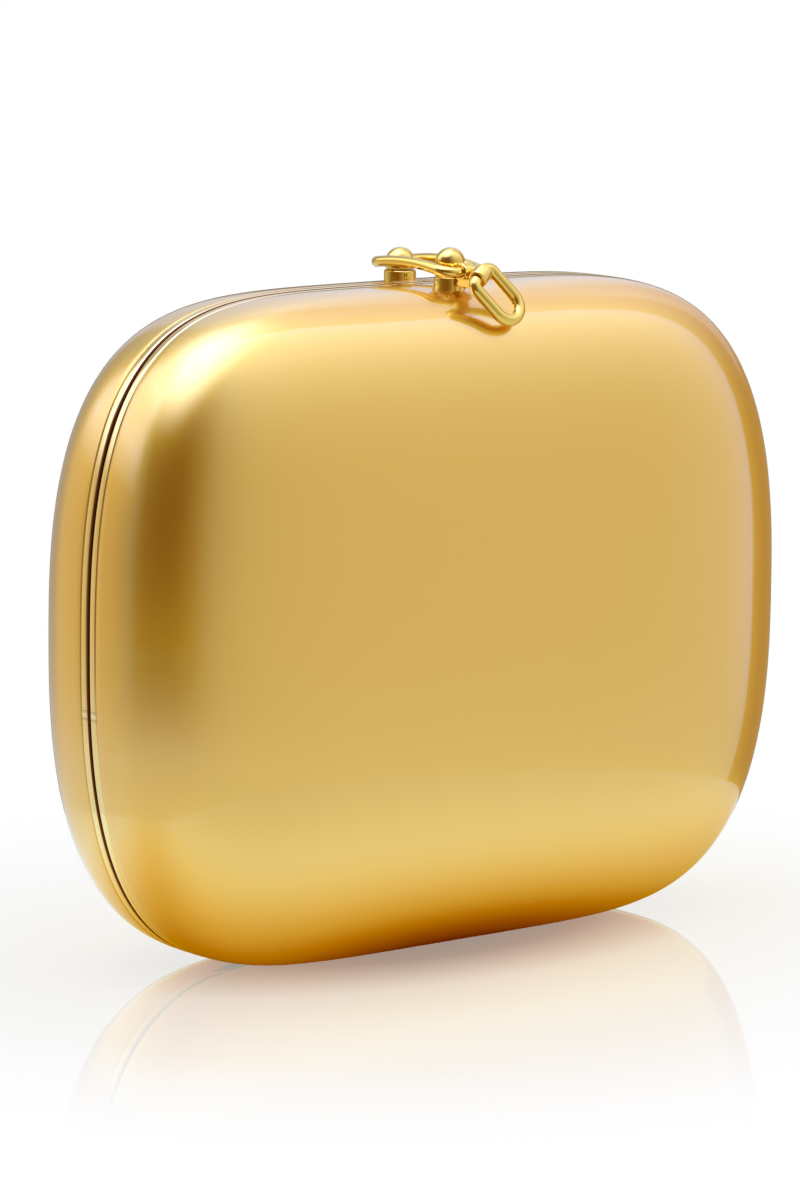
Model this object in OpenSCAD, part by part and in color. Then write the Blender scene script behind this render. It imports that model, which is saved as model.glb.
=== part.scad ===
// A hard clutch, or minaudiere: two pillowed metal halves on a hidden hinge
// under the base, closed at the top by a swinging wire link and a pull ring.
// Millimetres. X is the width, Y the depth with the front towards minus Y,
// and Z is up. The origin is the middle of the flat that the bag stands on.

/* [Body] */
// Width of the closed bag
body_width = 160; // [130:1:200]
// Height from the flat base to the crest of the shells
body_height = 130; // [110:1:160]
// Depth through both shells
body_depth = 57; // [50:0.5:70]
// How square the left and right ends are, 2 being an ellipse
side_squareness = 5.3; // [3.5:0.1:7]
// How square the top and the bottom are, 2 being an ellipse
crown_squareness = 2.6; // [2.2:0.1:3.4]
// How square the faces are towards their edges, 2 being an ellipse
face_squareness = 3.4; // [2.6:0.1:4.2]
// Height ground off the crown of the base to make its flat
base_flat = 0.6; // [0.5:0.05:1]
// Thickness of the shell sheet
shell_wall = 1; // [0.8:0.05:1.2]

/* [Frames] */
// Dark gap between the two polished rims
seam_gap = 0.5; // [0.4:0.05:0.8]
// Width of each polished rim
rim_width = 2.1; // [1.8:0.05:2.6]
// Depth of each frame towards the inside of the bag
frame_thickness = 2.6; // [2.5:0.05:3]
// Reveal line between a rim and its shell
rim_reveal = 0.15; // [0.1:0.05:0.25]
// Space between a frame's inner flange and the shell around it
flange_fit = 0.3; // [0.25:0.05:0.4]
// How far a frame's inner flange reaches into its shell
flange_reach = 5.8; // [5.6:0.1:6]
// How far the closing lip of the rear frame reaches into the front frame
lip_reach = 2; // [1:0.1:2.5]
// Thickness of the closing lip
lip_thickness = 0.8; // [0.6:0.05:1]
// Space between the closing lip and the front frame
lip_fit = 0.35; // [0.3:0.05:0.45]
// Height over the base where the closing lip starts
lip_start = 30; // [24:1:40]

/* [Lining] */
// Thickness of the lining
lining_thickness = 0.8; // [0.6:0.05:1]
// Space for glue between lining and shell
lining_gap = 0.3; // [0.25:0.05:0.4]
// Width of the bound edge of the lining
binding_width = 1.5; // [1.2:0.1:2]
// Thickness of the bound edge of the lining
binding_thickness = 1.2; // [1:0.1:1.6]
// Width of the slip pocket
pocket_width = 92; // [70:1:100]
// Depth of the slip pocket
pocket_height = 56; // [40:1:60]
// Height of the foot of the slip pocket over the base
pocket_foot = 26; // [22:1:34]
// Thickness of the slip pocket's panel
pocket_thickness = 0.9; // [0.7:0.1:1.2]

/* [Hinge] */
// Length of the hinge barrel
hinge_length = 84; // [70:1:90]
// Outside radius of a knuckle
knuckle_radius = 1.7; // [1.6:0.05:1.75]
// Radius of the hinge pin
hinge_pin_radius = 0.8; // [0.7:0.05:0.9]
// Running clearance of the front knuckles on the pin
hinge_run_fit = 0.06; // [0.04:0.01:0.09]
// Seat clearance of the rear knuckles on the pin
hinge_seat_fit = 0.02; // [0.01:0.01:0.04]
// Number of knuckles
knuckle_count = 7; // [5:2:9]
// Gap between neighbouring knuckles
knuckle_gap = 0.3; // [0.25:0.05:0.5]
// Height of the barrel over the floor
hinge_floor_gap = 0.2; // [0.15:0.05:0.3]
// Thickness of a hinge leaf
leaf_thickness = 0.8; // [0.7:0.05:1]
// Clearance of a leaf from the other leaf's knuckles
leaf_clearance = 0.35; // [0.3:0.05:0.5]
// Radius of a leaf rivet
rivet_radius = 0.8; // [0.6:0.05:0.9]
// Radius of a rivet head
rivet_head_radius = 1.4; // [1.2:0.05:1.5]
// Height of a rivet head
rivet_head_height = 0.5; // [0.4:0.05:0.7]
// Number of rivets in a leaf
rivet_count = 4; // [2:1:6]
// Distance between neighbouring rivets
rivet_pitch = 21; // [16:1:22]

/* [Clasp] */
// Distance of each clasp post from the seam
post_offset = 7.8; // [7.6:0.1:8.2]
// Radius of the foot of a post
post_foot_radius = 3.15; // [3:0.05:3.2]
// Radius of the head of a post
post_head_radius = 2.9; // [2.7:0.05:3]
// Height of a post's foot over the crest of the bag
post_foot_height = 1.6; // [1.4:0.05:1.65]
// Height of the front post over the crest of the bag
front_post_height = 7.2; // [7:0.1:8]
// Height of the rear cap over the crest of the bag
rear_cap_height = 6.05; // [5.9:0.05:6.5]
// Gap between the rear foot and the cap that snaps over it
cap_gap = 0.25; // [0.2:0.05:0.3]
// Bevel around the top of a post's foot
post_bevel = 0.3; // [0.2:0.05:0.4]
// Solder line under a post
solder_gap = 0.06; // [0.04:0.01:0.1]
// Radius of the wire of the link
link_wire_radius = 1.05; // [0.95:0.05:1.1]
// Half width of the link between the middles of its rods
link_half_width = 4.55; // [4.5:0.05:4.9]
// Height of the top of the link's bow over the crest of the bag
link_height = 4; // [3.95:0.05:4.3]
// Radius of the link's bow over the crown of the bag
link_bow_radius = 60; // [50:1:90]
// Length along the link from the middle of the front post to its front bar
link_bar_offset = 4.7; // [4.65:0.05:5.2]
// Bend radius of the link's front corners
link_corner_radius = 3; // [2.7:0.05:3.1]
// How much thinner the link's rods are than its bends
link_joint_step = 0.02; // [0.01:0.01:0.04]
// How far the link's rods reach into its bends
link_joint_reach = 0.2; // [0.1:0.05:0.3]
// Radius of the cross pin that carries the cap
cap_pin_radius = 0.7; // [0.6:0.05:0.8]
// Seat clearance of the cross pin
cap_pin_fit = 0.02; // [0.01:0.01:0.04]
// Outside radius of the knuckle's two eyes
eye_radius = 1.85; // [1.8:0.05:2]
// Running clearance of link and ring in their eyes
eye_fit = 0.06; // [0.04:0.01:0.09]
// Length of the eye that holds the link
link_eye_length = 2.8; // [2.5:0.1:2.8]
// Length of the eye that holds the ring
ring_eye_length = 3; // [2.6:0.1:3.2]
// Forward distance from the link's bar to the ring's bar
ring_eye_forward = 4.7; // [4.5:0.1:5.2]
// Drop from the link's bar to the ring's bar
ring_eye_drop = 0.3; // [0.2:0.1:0.6]
// Width of the arm that joins the eyes to the front post
arm_width = 2.7; // [2.4:0.1:2.7]
// Height of the arm
arm_height = 2; // [1.6:0.1:2.2]

/* [Pull ring] */
// Radius of the wire of the ring
ring_wire_radius = 1.2; // [1:0.05:1.25]
// Half width of the ring between the middles of its limbs
ring_half_width = 3.3; // [3.25:0.05:3.6]
// Length of the ring between the middles of its bar and its round end
ring_length = 10.7; // [10:0.1:11.5]
// Bend radius of the ring's corners at its bar
ring_corner_radius = 1.5; // [1.4:0.05:1.6]
// Height of the ring's round end over the shell below it
ring_hang = 4.14; // [3.9:0.02:5]
// How far the ring is turned towards the right end of the bag
ring_turn = 20; // [10:1:25]
// How far the ring's bar rises towards the right end of the bag
ring_tilt = 30; // [20:1:32]

/* [Hidden] */

// Facets: steps around the outline and from the seam to the middle of a face.
outline_steps = 64;
face_steps = 12;
// Any number of sides above 12 asks for a true round.
round_sides = 48;
// How the steps lie over a face: even turns, crowded where the face turns most.
face_blend = 4;
face_crowding_share = 0.45;
// One overrun for every cut.
overrun = 1;

half_width = body_width / 2;
half_height = (body_height + base_flat) / 2;
half_depth = body_depth / 2;
middle_z = body_height - half_height;

half_gap = seam_gap / 2;
rim_end = half_gap + rim_width;
shell_edge = rim_end + rim_reveal;
flange_inset = shell_wall + flange_fit;
lip_inset = frame_thickness + lip_fit;
lining_inset = shell_wall + lining_gap;
lining_face = lining_inset + lining_thickness;
lining_edge = flange_reach + lining_gap;
// The bound edge stays clear of the lining's face, which curves in behind it.
lining_curve = (half_height - lining_face)
    * (1 - pow(slice_sum(lining_edge + binding_width, lining_face), 1 / crown_squareness));
binding_inset = lining_face + lining_gap + lining_curve;

hinge_z = knuckle_radius + hinge_floor_gap;
knuckle_pitch = hinge_length / knuckle_count;
leaf_edge = knuckle_radius + leaf_clearance;
// A leaf lies on the frame, or over where the base has risen at its ends.
leaf_bottom = max(frame_thickness, base_z(hinge_length / 2, flange_inset) + leaf_thickness);
leaf_top = leaf_bottom + leaf_thickness;
// The rims make room for the barrel, and past its ends they keep clear of each
// other where they lie under the axis.
relief_length = hinge_length + 2 * knuckle_pitch;
rivet_y = (shell_edge + flange_reach) / 2;

// The link bows over the crown, so its bar and its cap lie lower than its top.
function bow_turn(y) = asin(y / link_bow_radius);
function bow_z(y) =
    body_height + link_height - link_bow_radius * (1 - cos(bow_turn(y)));
link_corner_y = link_corner_radius - post_offset - link_bar_offset;
link_bar_y = link_corner_y - link_corner_radius * cos(bow_turn(link_corner_y));
link_bar_z = bow_z(link_corner_y) + link_corner_radius * sin(bow_turn(link_corner_y));
cap_pin_z = bow_z(post_offset);
foot_top = body_height + post_foot_height;
front_head_z = body_height + front_post_height - post_head_radius;
rear_head_z = body_height + rear_cap_height - post_head_radius;
cap_bottom = foot_top + cap_gap;
ring_eye_y = link_bar_y - ring_eye_forward;
ring_eye_z = link_bar_z - ring_eye_drop;
link_bore = link_wire_radius + eye_fit;
ring_bore = ring_wire_radius + eye_fit;
// The ring droops until its round end hangs at its height over the shell. Each
// step halves the range that holds the angle.
droop_steps = 16;
ring_droop = settled_droop(0, 90, droop_steps);

shell_color = [0.83, 0.65, 0.3];
polished_color = [0.93, 0.76, 0.38];
lining_color = [0.3, 0.2, 0.14];
binding_color = [0.2, 0.12, 0.08];
hinge_color = [0.8, 0.66, 0.36];
steel_color = [0.75, 0.74, 0.72];

// THE FORM
// |x/w|^side + |z/h|^crown + |y/d|^face = 1, and an inset shortens each half
// size. The flat base keeps the same wall, so no point is lower than its inset.

function outline_sum(s) =
    pow(abs(cos(s)), side_squareness) + pow(abs(sin(s)), crown_squareness);
function outline_x(s, inset, k) =
    (half_width - inset) * cos(s) * pow(k / outline_sum(s), 1 / side_squareness);
function outline_z(s, inset, k) =
    max(inset, middle_z + (half_height - inset) * sin(s)
        * pow(k / outline_sum(s), 1 / crown_squareness));
function outline(inset) =
    [for (i = [0 : outline_steps - 1])
        let (s = 360 * i / outline_steps)
        [outline_x(s, inset, 1), outline_z(s, inset, 1)]];

// What is left of the outline at a depth y, as the sum that it must meet.
function slice_sum(y, inset) =
    max(0, 1 - pow(y / (half_depth - inset), face_squareness));
function slice(y, inset) =
    [for (i = [0 : outline_steps - 1])
        let (s = 360 * i / outline_steps, k = slice_sum(y, inset))
        [outline_x(s, inset, k), y, outline_z(s, inset, k)]];
function step_depth(j, inset) =
    let (u = j / face_steps,
         e = 90 * (u + face_crowding_share * sin(360 * u) / (2 * PI)))
    (half_depth - inset) * sin(e)
        / pow(pow(cos(e), face_blend) + pow(sin(e), face_squareness), 1 / face_squareness);

// Height of a skin's underside, of the outside over a point, and depth of a
// skin behind a point.
function base_z(x, inset) =
    max(inset, middle_z - (half_height - inset) * pow(
        max(0, 1 - pow(abs(x) / (half_width - inset), side_squareness)),
        1 / crown_squareness));
function crest_z(x, y) =
    middle_z + half_height * pow(
        max(0, 1 - pow(abs(x) / half_width, side_squareness)
            - pow(abs(y) / half_depth, face_squareness)),
        1 / crown_squareness);
function skin_y(x, z, inset) =
    (half_depth - inset) * pow(
        max(0, 1 - pow(abs(x) / (half_width - inset), side_squareness)
            - pow(abs(z - middle_z) / (half_height - inset), crown_squareness)),
        1 / face_squareness);

// Height of the ring's round end over the shell when the ring droops by an angle.
function ring_height(droop) =
    let (down = ring_length * sin(droop), out = ring_length * cos(droop),
         side = down * sin(ring_tilt))
    ring_eye_z - down * cos(ring_tilt)
    - crest_z(side * cos(ring_turn) + out * sin(ring_turn),
              ring_eye_y + side * sin(ring_turn) - out * cos(ring_turn));
function settled_droop(low, high, steps) =
    let (middle = (low + high) / 2)
    steps == 0 ? middle
        : ring_height(middle) > ring_hang ? settled_droop(middle, high, steps - 1)
        : settled_droop(low, middle, steps - 1);

// Two triangles for each step of a grid of rows, and the other way round.
function row_faces(first, second, count) =
    [for (i = [0 : count - 1])
        let (n = (i + 1) % count)
        each [[first + i, first + n, second + n], [first + i, second + n, second + i]]];
function flipped(faces) = [for (f = faces) [f[2], f[1], f[0]]];

// A closed skin between two insets, open at the seam side, over positive Y.
module skin(outer, inner, edge, first_step) {
    rows = face_steps - first_step + 1;
    function wall_points(inset) = concat(
        slice(edge, inset),
        [for (j = [first_step : face_steps - 1]) each slice(step_depth(j, inset), inset)],
        [[0, half_depth - inset, middle_z]]);
    function wall_faces(start) = concat(
        [for (r = [0 : rows - 2])
            each row_faces(start + r * outline_steps, start + (r + 1) * outline_steps, outline_steps)],
        [for (i = [0 : outline_steps - 1])
            [start + (rows - 1) * outline_steps + i,
             start + (rows - 1) * outline_steps + (i + 1) % outline_steps,
             start + rows * outline_steps]]);
    inner_start = rows * outline_steps + 1;
    polyhedron(
        points = concat(wall_points(outer), wall_points(inner)),
        faces = concat(
            wall_faces(0),
            flipped(wall_faces(inner_start)),
            flipped(row_faces(0, inner_start, outline_steps))),
        convexity = 4);
}

// A slab between two grids of points. Seen from outside, the upper grid has
// its columns to the right and its rows upwards.
module slab(upper, lower, columns, rows) {
    row = columns + 1;
    start = len(upper);
    cells = [for (r = [0 : rows - 1]) for (c = [0 : columns - 1])
        let (a = r * row + c)
        each [[a, a + row, a + row + 1], [a, a + row + 1, a + 1]]];
    rim = concat(
        [for (c = [0 : columns]) c],
        [for (r = [1 : rows]) r * row + columns],
        [for (c = [columns - 1 : -1 : 0]) rows * row + c],
        [for (r = [rows - 1 : -1 : 1]) r * row]);
    polyhedron(
        points = concat(upper, lower),
        faces = concat(
            cells,
            [for (f = flipped(cells)) [f[0] + start, f[1] + start, f[2] + start]],
            [for (i = [0 : len(rim) - 1])
                let (a = rim[i], b = rim[(i + 1) % len(rim)])
                each [[a, b, start + b], [a, start + b, start + a]]]),
        convexity = 2);
}

// A flat ring that follows the outline, from one inset to another.
module band(outer, inner, low_y, high_y)
    translate([0, high_y, 0]) rotate([90, 0, 0]) linear_extrude(high_y - low_y)
        difference() {
            polygon(outline(outer));
            polygon(outline(inner));
        }

module front_side() mirror([0, 1, 0]) children();
module along_x() rotate([0, 90, 0]) children();

// SHELLS, LININGS AND POCKET

module shell() skin(0, shell_wall, shell_edge, 1);
module lining() skin(lining_inset, lining_face, lining_edge, 2);
module binding() band(binding_inset, binding_inset + binding_thickness,
                      lining_edge, lining_edge + binding_width);

module rear_shell() color(shell_color) shell();
module front_shell() color(shell_color) front_side() shell();
module rear_lining() color(lining_color) lining();
module front_lining() color(lining_color) front_side() lining();
module rear_binding() color(binding_color) binding();
module front_binding() color(binding_color) front_side() binding();

// The pocket is a panel that follows the lining of the rear half.
pocket_columns = 10;
pocket_rows = 6;
module slip_pocket() {
    back = lining_face + lining_gap;
    function panel(inset) =
        [for (r = [0 : pocket_rows]) for (c = [0 : pocket_columns])
            let (x = pocket_width * (c / pocket_columns - 1 / 2),
                 z = pocket_foot + pocket_height * r / pocket_rows)
            [x, skin_y(x, z, inset), z]];
    color(lining_color)
        slab(panel(back + pocket_thickness), panel(back), pocket_columns, pocket_rows);
}

// FRAMES AND HINGE

function rivet_x(i) = rivet_pitch * (i - (rivet_count - 1) / 2);
module rivet_holes()
    for (i = [0 : rivet_count - 1])
        translate([rivet_x(i), rivet_y, 0])
            cylinder(h = leaf_top + overrun, r = rivet_radius + hinge_seat_fit, $fn = round_sides);

// A box over the hinge's length, from the seam side to a depth and a height.
module hinge_box(low_y, high_y, low_z, high_z)
    translate([-hinge_length / 2 - knuckle_gap, low_y, low_z])
        cube([hinge_length + 2 * knuckle_gap, high_y - low_y, high_z - low_z]);

// The rim shows at the seam, and the flange behind it stands inside the shell
// and carries the hinge leaf on a flat seat.
module frame_ring() {
    difference() {
        union() {
            band(0, frame_thickness, half_gap, rim_end);
            band(flange_inset, frame_thickness, half_gap + rim_width / 2, flange_reach);
            intersection() {
                hinge_box(half_gap + rim_width / 2, flange_reach, 0, leaf_bottom);
                translate([0, flange_reach, 0]) rotate([90, 0, 0])
                    linear_extrude(flange_reach) polygon(outline(flange_inset));
            }
        }
        hinge_box(-overrun, shell_edge, -overrun, leaf_top + overrun);
        hinge_box(-overrun, flange_reach + overrun, leaf_bottom, leaf_top + overrun);
        translate([-relief_length / 2, -overrun, -overrun])
            cube([relief_length, knuckle_radius + overrun, hinge_z + overrun]);
        rivet_holes();
    }
}

// The rear frame's lip closes the seam from the inside, above lip_start.
module closing_lip()
    intersection() {
        union() {
            band(lip_inset, lip_inset + lip_thickness, -lip_reach, rim_end);
            band(frame_thickness - flange_fit, lip_inset + lip_thickness, half_gap + rim_width / 2, rim_end);
        }
        translate([-body_width / 2, -body_depth / 2, lip_start])
            cube([body_width, body_depth, body_height]);
    }

module rear_frame() color(polished_color) {
    union() {
        frame_ring();
        closing_lip();
    }
}
module front_frame() color(polished_color) front_side() frame_ring();

// Even knuckles belong to the rear leaf and odd ones to the front leaf.
module hinge_leaf(odd, bore) {
    difference() {
        union() {
            translate([-hinge_length / 2, leaf_edge, leaf_bottom])
                cube([hinge_length, flange_reach - leaf_edge, leaf_thickness]);
            for (i = [odd : 2 : knuckle_count - 1]) {
                start = -hinge_length / 2 + knuckle_pitch * i + knuckle_gap / 2;
                translate([start, 0, hinge_z]) along_x()
                    cylinder(h = knuckle_pitch - knuckle_gap, r = knuckle_radius, $fn = round_sides);
                translate([start, 0, hinge_z + hinge_pin_radius])
                    cube([knuckle_pitch - knuckle_gap, knuckle_radius, leaf_top - hinge_z - hinge_pin_radius]);
                translate([start, 0, leaf_bottom])
                    cube([knuckle_pitch - knuckle_gap, rivet_y, leaf_thickness]);
            }
        }
        translate([-hinge_length / 2 - overrun, 0, hinge_z]) along_x()
            cylinder(h = hinge_length + 2 * overrun, r = bore, $fn = round_sides);
        rivet_holes();
    }
}
module rear_hinge_leaf() color(hinge_color)
    hinge_leaf(0, hinge_pin_radius + hinge_seat_fit);
module front_hinge_leaf() color(hinge_color)
    front_side() hinge_leaf(1, hinge_pin_radius + hinge_run_fit);

module hinge_pin() color(steel_color)
    translate([-hinge_length / 2, 0, hinge_z]) along_x()
        cylinder(h = hinge_length, r = hinge_pin_radius, $fn = round_sides);

module rivets()
    for (i = [0 : rivet_count - 1])
        translate([rivet_x(i), rivet_y, 0]) {
            foot = base_z(rivet_x(i), flange_inset);
            translate([0, 0, foot])
                cylinder(h = leaf_top - foot, r = rivet_radius, $fn = round_sides);
            translate([0, 0, leaf_top])
                cylinder(h = rivet_head_height, r1 = rivet_head_radius, r2 = rivet_radius, $fn = round_sides);
        }
module rear_rivets() color(hinge_color) rivets();
module front_rivets() color(hinge_color) front_side() rivets();

// CLASP

// The outside of the shell under a post, as a block to cut its foot with.
seat_columns = 4;
seat_rows = 6;
module seat_cutter(middle_y) {
    reach = post_foot_radius + overrun;
    function grid(drop) =
        [for (r = [0 : seat_rows]) for (c = [0 : seat_columns])
            let (x = reach * (2 * c / seat_columns - 1),
                 y = middle_y + reach * (2 * r / seat_rows - 1))
            [x, y, crest_z(x, y) + solder_gap - drop]];
    slab(grid(0), grid(post_foot_radius), seat_columns, seat_rows);
}

module post_foot(middle_y)
    difference() {
        translate([0, middle_y, body_height - post_foot_radius / 2]) {
            cylinder(h = post_foot_radius / 2 + post_foot_height - post_bevel,
                     r = post_foot_radius, $fn = round_sides);
            translate([0, 0, post_foot_radius / 2 + post_foot_height - post_bevel])
                cylinder(h = post_bevel, r1 = post_foot_radius,
                         r2 = post_foot_radius - post_bevel, $fn = round_sides);
        }
        seat_cutter(middle_y);
    }

module rear_stud() color(polished_color) post_foot(post_offset);

module front_post() color(polished_color) {
    post_foot(-post_offset);
    translate([0, -post_offset, body_height + post_foot_height / 2])
        cylinder(h = front_head_z - body_height - post_foot_height / 2,
                 r = post_head_radius, $fn = round_sides);
    translate([0, -post_offset, front_head_z])
        sphere(r = post_head_radius, $fn = round_sides);
}

// One arm from the front post carries an eye for the link and one for the ring.
module at_link_bar() translate([0, link_bar_y, link_bar_z]) children();
module at_ring_eye()
    translate([0, ring_eye_y, ring_eye_z]) rotate([0, -ring_tilt, ring_turn]) children();
module clasp_knuckle() color(polished_color)
    difference() {
        union() {
            at_link_bar() translate([-link_eye_length / 2, 0, 0]) along_x()
                cylinder(h = link_eye_length, r = eye_radius, $fn = round_sides);
            at_ring_eye() translate([-ring_eye_length / 2, 0, 0]) along_x()
                cylinder(h = ring_eye_length, r = eye_radius, $fn = round_sides);
            at_link_bar() translate([-arm_width / 2, eye_radius / 2 - ring_eye_forward, -eye_radius - arm_height / 2])
                cube([arm_width, link_bar_offset + ring_eye_forward - eye_radius / 2, arm_height]);
        }
        at_link_bar() translate([-link_eye_length, 0, 0]) along_x()
            cylinder(h = 2 * link_eye_length, r = link_bore, $fn = round_sides);
        at_ring_eye() translate([-link_eye_length, 0, 0]) along_x()
            cylinder(h = 2 * link_eye_length, r = ring_bore, $fn = round_sides);
        translate([0, -post_offset, body_height - overrun])
            cylinder(h = front_post_height, r = post_foot_radius + cap_pin_fit, $fn = round_sides);
    }

// A quarter or half bend of wire about the origin, in the XY plane.
module bend(radius, wire, start, turn)
    rotate([0, 0, start]) rotate_extrude(angle = turn, $fn = round_sides)
        translate([radius, 0]) circle(r = wire, $fn = round_sides);
// The link is a long loop that bows over the crown: a half bend round the rear
// cap, two rods, and a straight front bar, between tight corners, that turns in
// the knuckle.
module clasp_link() {
    bar_half = link_half_width - link_corner_radius;
    rear_turn = bow_turn(post_offset);
    front_turn = bow_turn(link_corner_y);
    joint_turn = asin(link_joint_reach / link_bow_radius);
    rod_radius = link_wire_radius - link_joint_step;
    color(polished_color) difference() {
        union() {
            translate([0, post_offset, cap_pin_z]) rotate([-rear_turn, 0, 0])
                bend(link_half_width, link_wire_radius, 0, 180);
            for (side = [-1, 1])
                translate([side * link_half_width, 0, body_height + link_height - link_bow_radius])
                    rotate([0, -90, 0])
                        bend(link_bow_radius, rod_radius, front_turn - joint_turn,
                             rear_turn - front_turn + 2 * joint_turn);
            translate([0, link_corner_y, bow_z(link_corner_y)]) rotate([-front_turn, 0, 0])
                for (side = [-1, 1])
                    translate([side * bar_half, 0, 0])
                        bend(link_corner_radius, link_wire_radius, side < 0 ? 180 : 270, 90);
            at_link_bar() translate([-bar_half - link_joint_reach, 0, 0]) along_x()
                cylinder(h = 2 * (bar_half + link_joint_reach), r = rod_radius, $fn = round_sides);
        }
        cap_cross(cap_pin_radius + cap_pin_fit);
    }
}
module cap_cross(radius)
    translate([-link_half_width, post_offset, cap_pin_z]) along_x()
        cylinder(h = 2 * link_half_width, r = radius, $fn = round_sides);

module rear_cap() color(polished_color)
    difference() {
        translate([0, post_offset, 0]) {
            translate([0, 0, cap_bottom])
                cylinder(h = rear_head_z - cap_bottom, r = post_head_radius, $fn = round_sides);
            intersection() {
                translate([0, 0, rear_head_z]) sphere(r = post_head_radius, $fn = round_sides);
                translate([-post_head_radius, -post_head_radius, cap_bottom])
                    cube([2 * post_head_radius, 2 * post_head_radius, rear_cap_height]);
            }
        }
        cap_cross(cap_pin_radius + cap_pin_fit);
    }
module cap_pin() color(polished_color) cap_cross(cap_pin_radius);

module pull_ring() {
    bar_half = ring_half_width - ring_corner_radius;
    limb = ring_length - ring_half_width - ring_corner_radius;
    color(polished_color) at_ring_eye() rotate([ring_droop, 0, 0]) union() {
        translate([-bar_half, 0, 0]) along_x()
            cylinder(h = 2 * bar_half, r = ring_wire_radius, $fn = round_sides);
        for (side = [-1, 1]) {
            translate([side * bar_half, -ring_corner_radius, 0])
                bend(ring_corner_radius, ring_wire_radius, side < 0 ? 90 : 0, 90);
            translate([side * ring_half_width, -ring_corner_radius - limb, 0]) rotate([-90, 0, 0])
                cylinder(h = limb, r = ring_wire_radius, $fn = round_sides);
        }
        translate([0, -ring_corner_radius - limb, 0])
            bend(ring_half_width, ring_wire_radius, 180, 180);
    }
}

rear_shell();
rear_frame();
rear_lining();
rear_binding();
slip_pocket();
rear_hinge_leaf();
rear_rivets();
hinge_pin();
rear_stud();
front_shell();
front_frame();
front_lining();
front_binding();
front_hinge_leaf();
front_rivets();
front_post();
clasp_knuckle();
clasp_link();
rear_cap();
cap_pin();
pull_ring();
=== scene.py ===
"""The looks of a hard clutch bag: two pillowed metal halves, a hidden hinge, a wire clasp."""

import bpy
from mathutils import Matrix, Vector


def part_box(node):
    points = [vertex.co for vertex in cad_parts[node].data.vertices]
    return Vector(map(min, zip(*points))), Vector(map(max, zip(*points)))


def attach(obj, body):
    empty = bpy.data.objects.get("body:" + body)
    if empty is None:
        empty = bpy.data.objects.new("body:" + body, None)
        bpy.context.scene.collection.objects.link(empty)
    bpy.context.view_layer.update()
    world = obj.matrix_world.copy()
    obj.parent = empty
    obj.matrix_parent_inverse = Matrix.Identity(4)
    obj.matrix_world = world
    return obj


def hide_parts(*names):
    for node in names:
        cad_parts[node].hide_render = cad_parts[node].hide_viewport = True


bl_info = {
    "name": "Hard Clutch Bag",
    "version": (1, 0, 0),
    "blender": (4, 5, 0),
    "location": "3D View > Sidebar > Clutch Bag",
    "description": "Models the looks of a hard clutch bag around its solids",
    "category": "Object",
}

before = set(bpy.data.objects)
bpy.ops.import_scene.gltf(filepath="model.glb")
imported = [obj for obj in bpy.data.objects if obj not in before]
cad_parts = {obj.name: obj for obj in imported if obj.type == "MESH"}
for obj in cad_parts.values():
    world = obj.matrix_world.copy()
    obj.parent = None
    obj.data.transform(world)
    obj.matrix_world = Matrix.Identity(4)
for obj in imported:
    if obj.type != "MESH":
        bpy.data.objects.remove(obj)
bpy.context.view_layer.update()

import math

import bpy
from bpy.props import FloatProperty, FloatVectorProperty, IntProperty, PointerProperty
from mathutils import Matrix, Vector

MM = 0.001
HALF_TURN = math.pi
QUARTER_TURN = math.pi / 2
FULL_TURN = 2 * math.pi

SHELL_LOW, SHELL_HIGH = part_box("front_shell")


# SIZES AND COLOURS

def setting(make, read=None, **limits):
    """One kind of property, which is made from a name, a description and a default."""
    def made(name, description, default):
        return make(name=name, description=description,
                    default=read(default) if read else default, **limits)
    return made


# Lengths are written in millimetres, angles in degrees and colours as linear values.
# A power says how square a side of the form is.
length = setting(FloatProperty, lambda size: size * MM, min=0.0, precision=4,
                 unit="LENGTH", subtype="DISTANCE")
angle = setting(FloatProperty, math.radians, unit="ROTATION", subtype="ANGLE")
share = setting(FloatProperty, min=0.0, max=1.0, subtype="FACTOR")
power = setting(FloatProperty, min=2.0, max=8.0)
count = setting(IntProperty, min=3)
colour = setting(FloatVectorProperty, size=3, min=0.0, max=1.0, subtype="COLOR")


class BagForm(bpy.types.PropertyGroup):
    """Sizes of the pillowed form and of its metal sheet"""
    half_width: length("Half width", "Half of the bag's width", SHELL_HIGH.x / MM)
    top: length("Height", "Height of the crest over the base", SHELL_HIGH.z / MM)
    half_depth: length("Half depth", "Depth of one half", -SHELL_LOW.y / MM)
    base_flat: length("Base flat", "Height ground off the crown of the base", 0.6)
    wall: length("Sheet", "Thickness of the shell's sheet", 1.0)
    side: power("Side squareness", "How square the ends are", 5.3)
    crown: power("Crown squareness", "How square the top and the base are", 2.6)
    face: power("Face squareness", "How square the faces are", 3.4)
    outline_steps: count("Outline steps", "Steps round the outline", 256)
    face_steps: count("Face steps", "Steps from the seam to the middle of a face", 48)


class BagRims(bpy.types.PropertyGroup):
    """Sizes of the two frames at the seam"""
    seam_gap: length("Seam gap", "Dark gap between the two rims", 0.5)
    width: length("Rim width", "Width of each polished rim", 2.1)
    thickness: length("Frame depth", "Depth of a frame towards the inside", 2.6)
    reveal: length("Reveal", "Line between a rim and its shell", 0.15)
    inner_rounding: length("Inner rounding", "Radius of a rim's edge at the seam", 0.6)
    rounding: length("Rounding", "Radius of a rim's edge at its shell", 0.3)
    flange_inset: length("Flange inset", "Inset of the flange inside the shell", 1.3)
    flange_reach: length("Flange reach", "How far the flange reaches into the shell", 5.8)
    lip_inset: length("Lip inset", "Inset of the closing lip", 2.95)
    lip_thickness: length("Lip thickness", "Thickness of the closing lip", 0.8)
    lip_reach: length("Lip reach", "How far the lip reaches over the seam", 2.0)
    lip_start: length("Lip start", "Height where the closing lip starts", 30.0)


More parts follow.
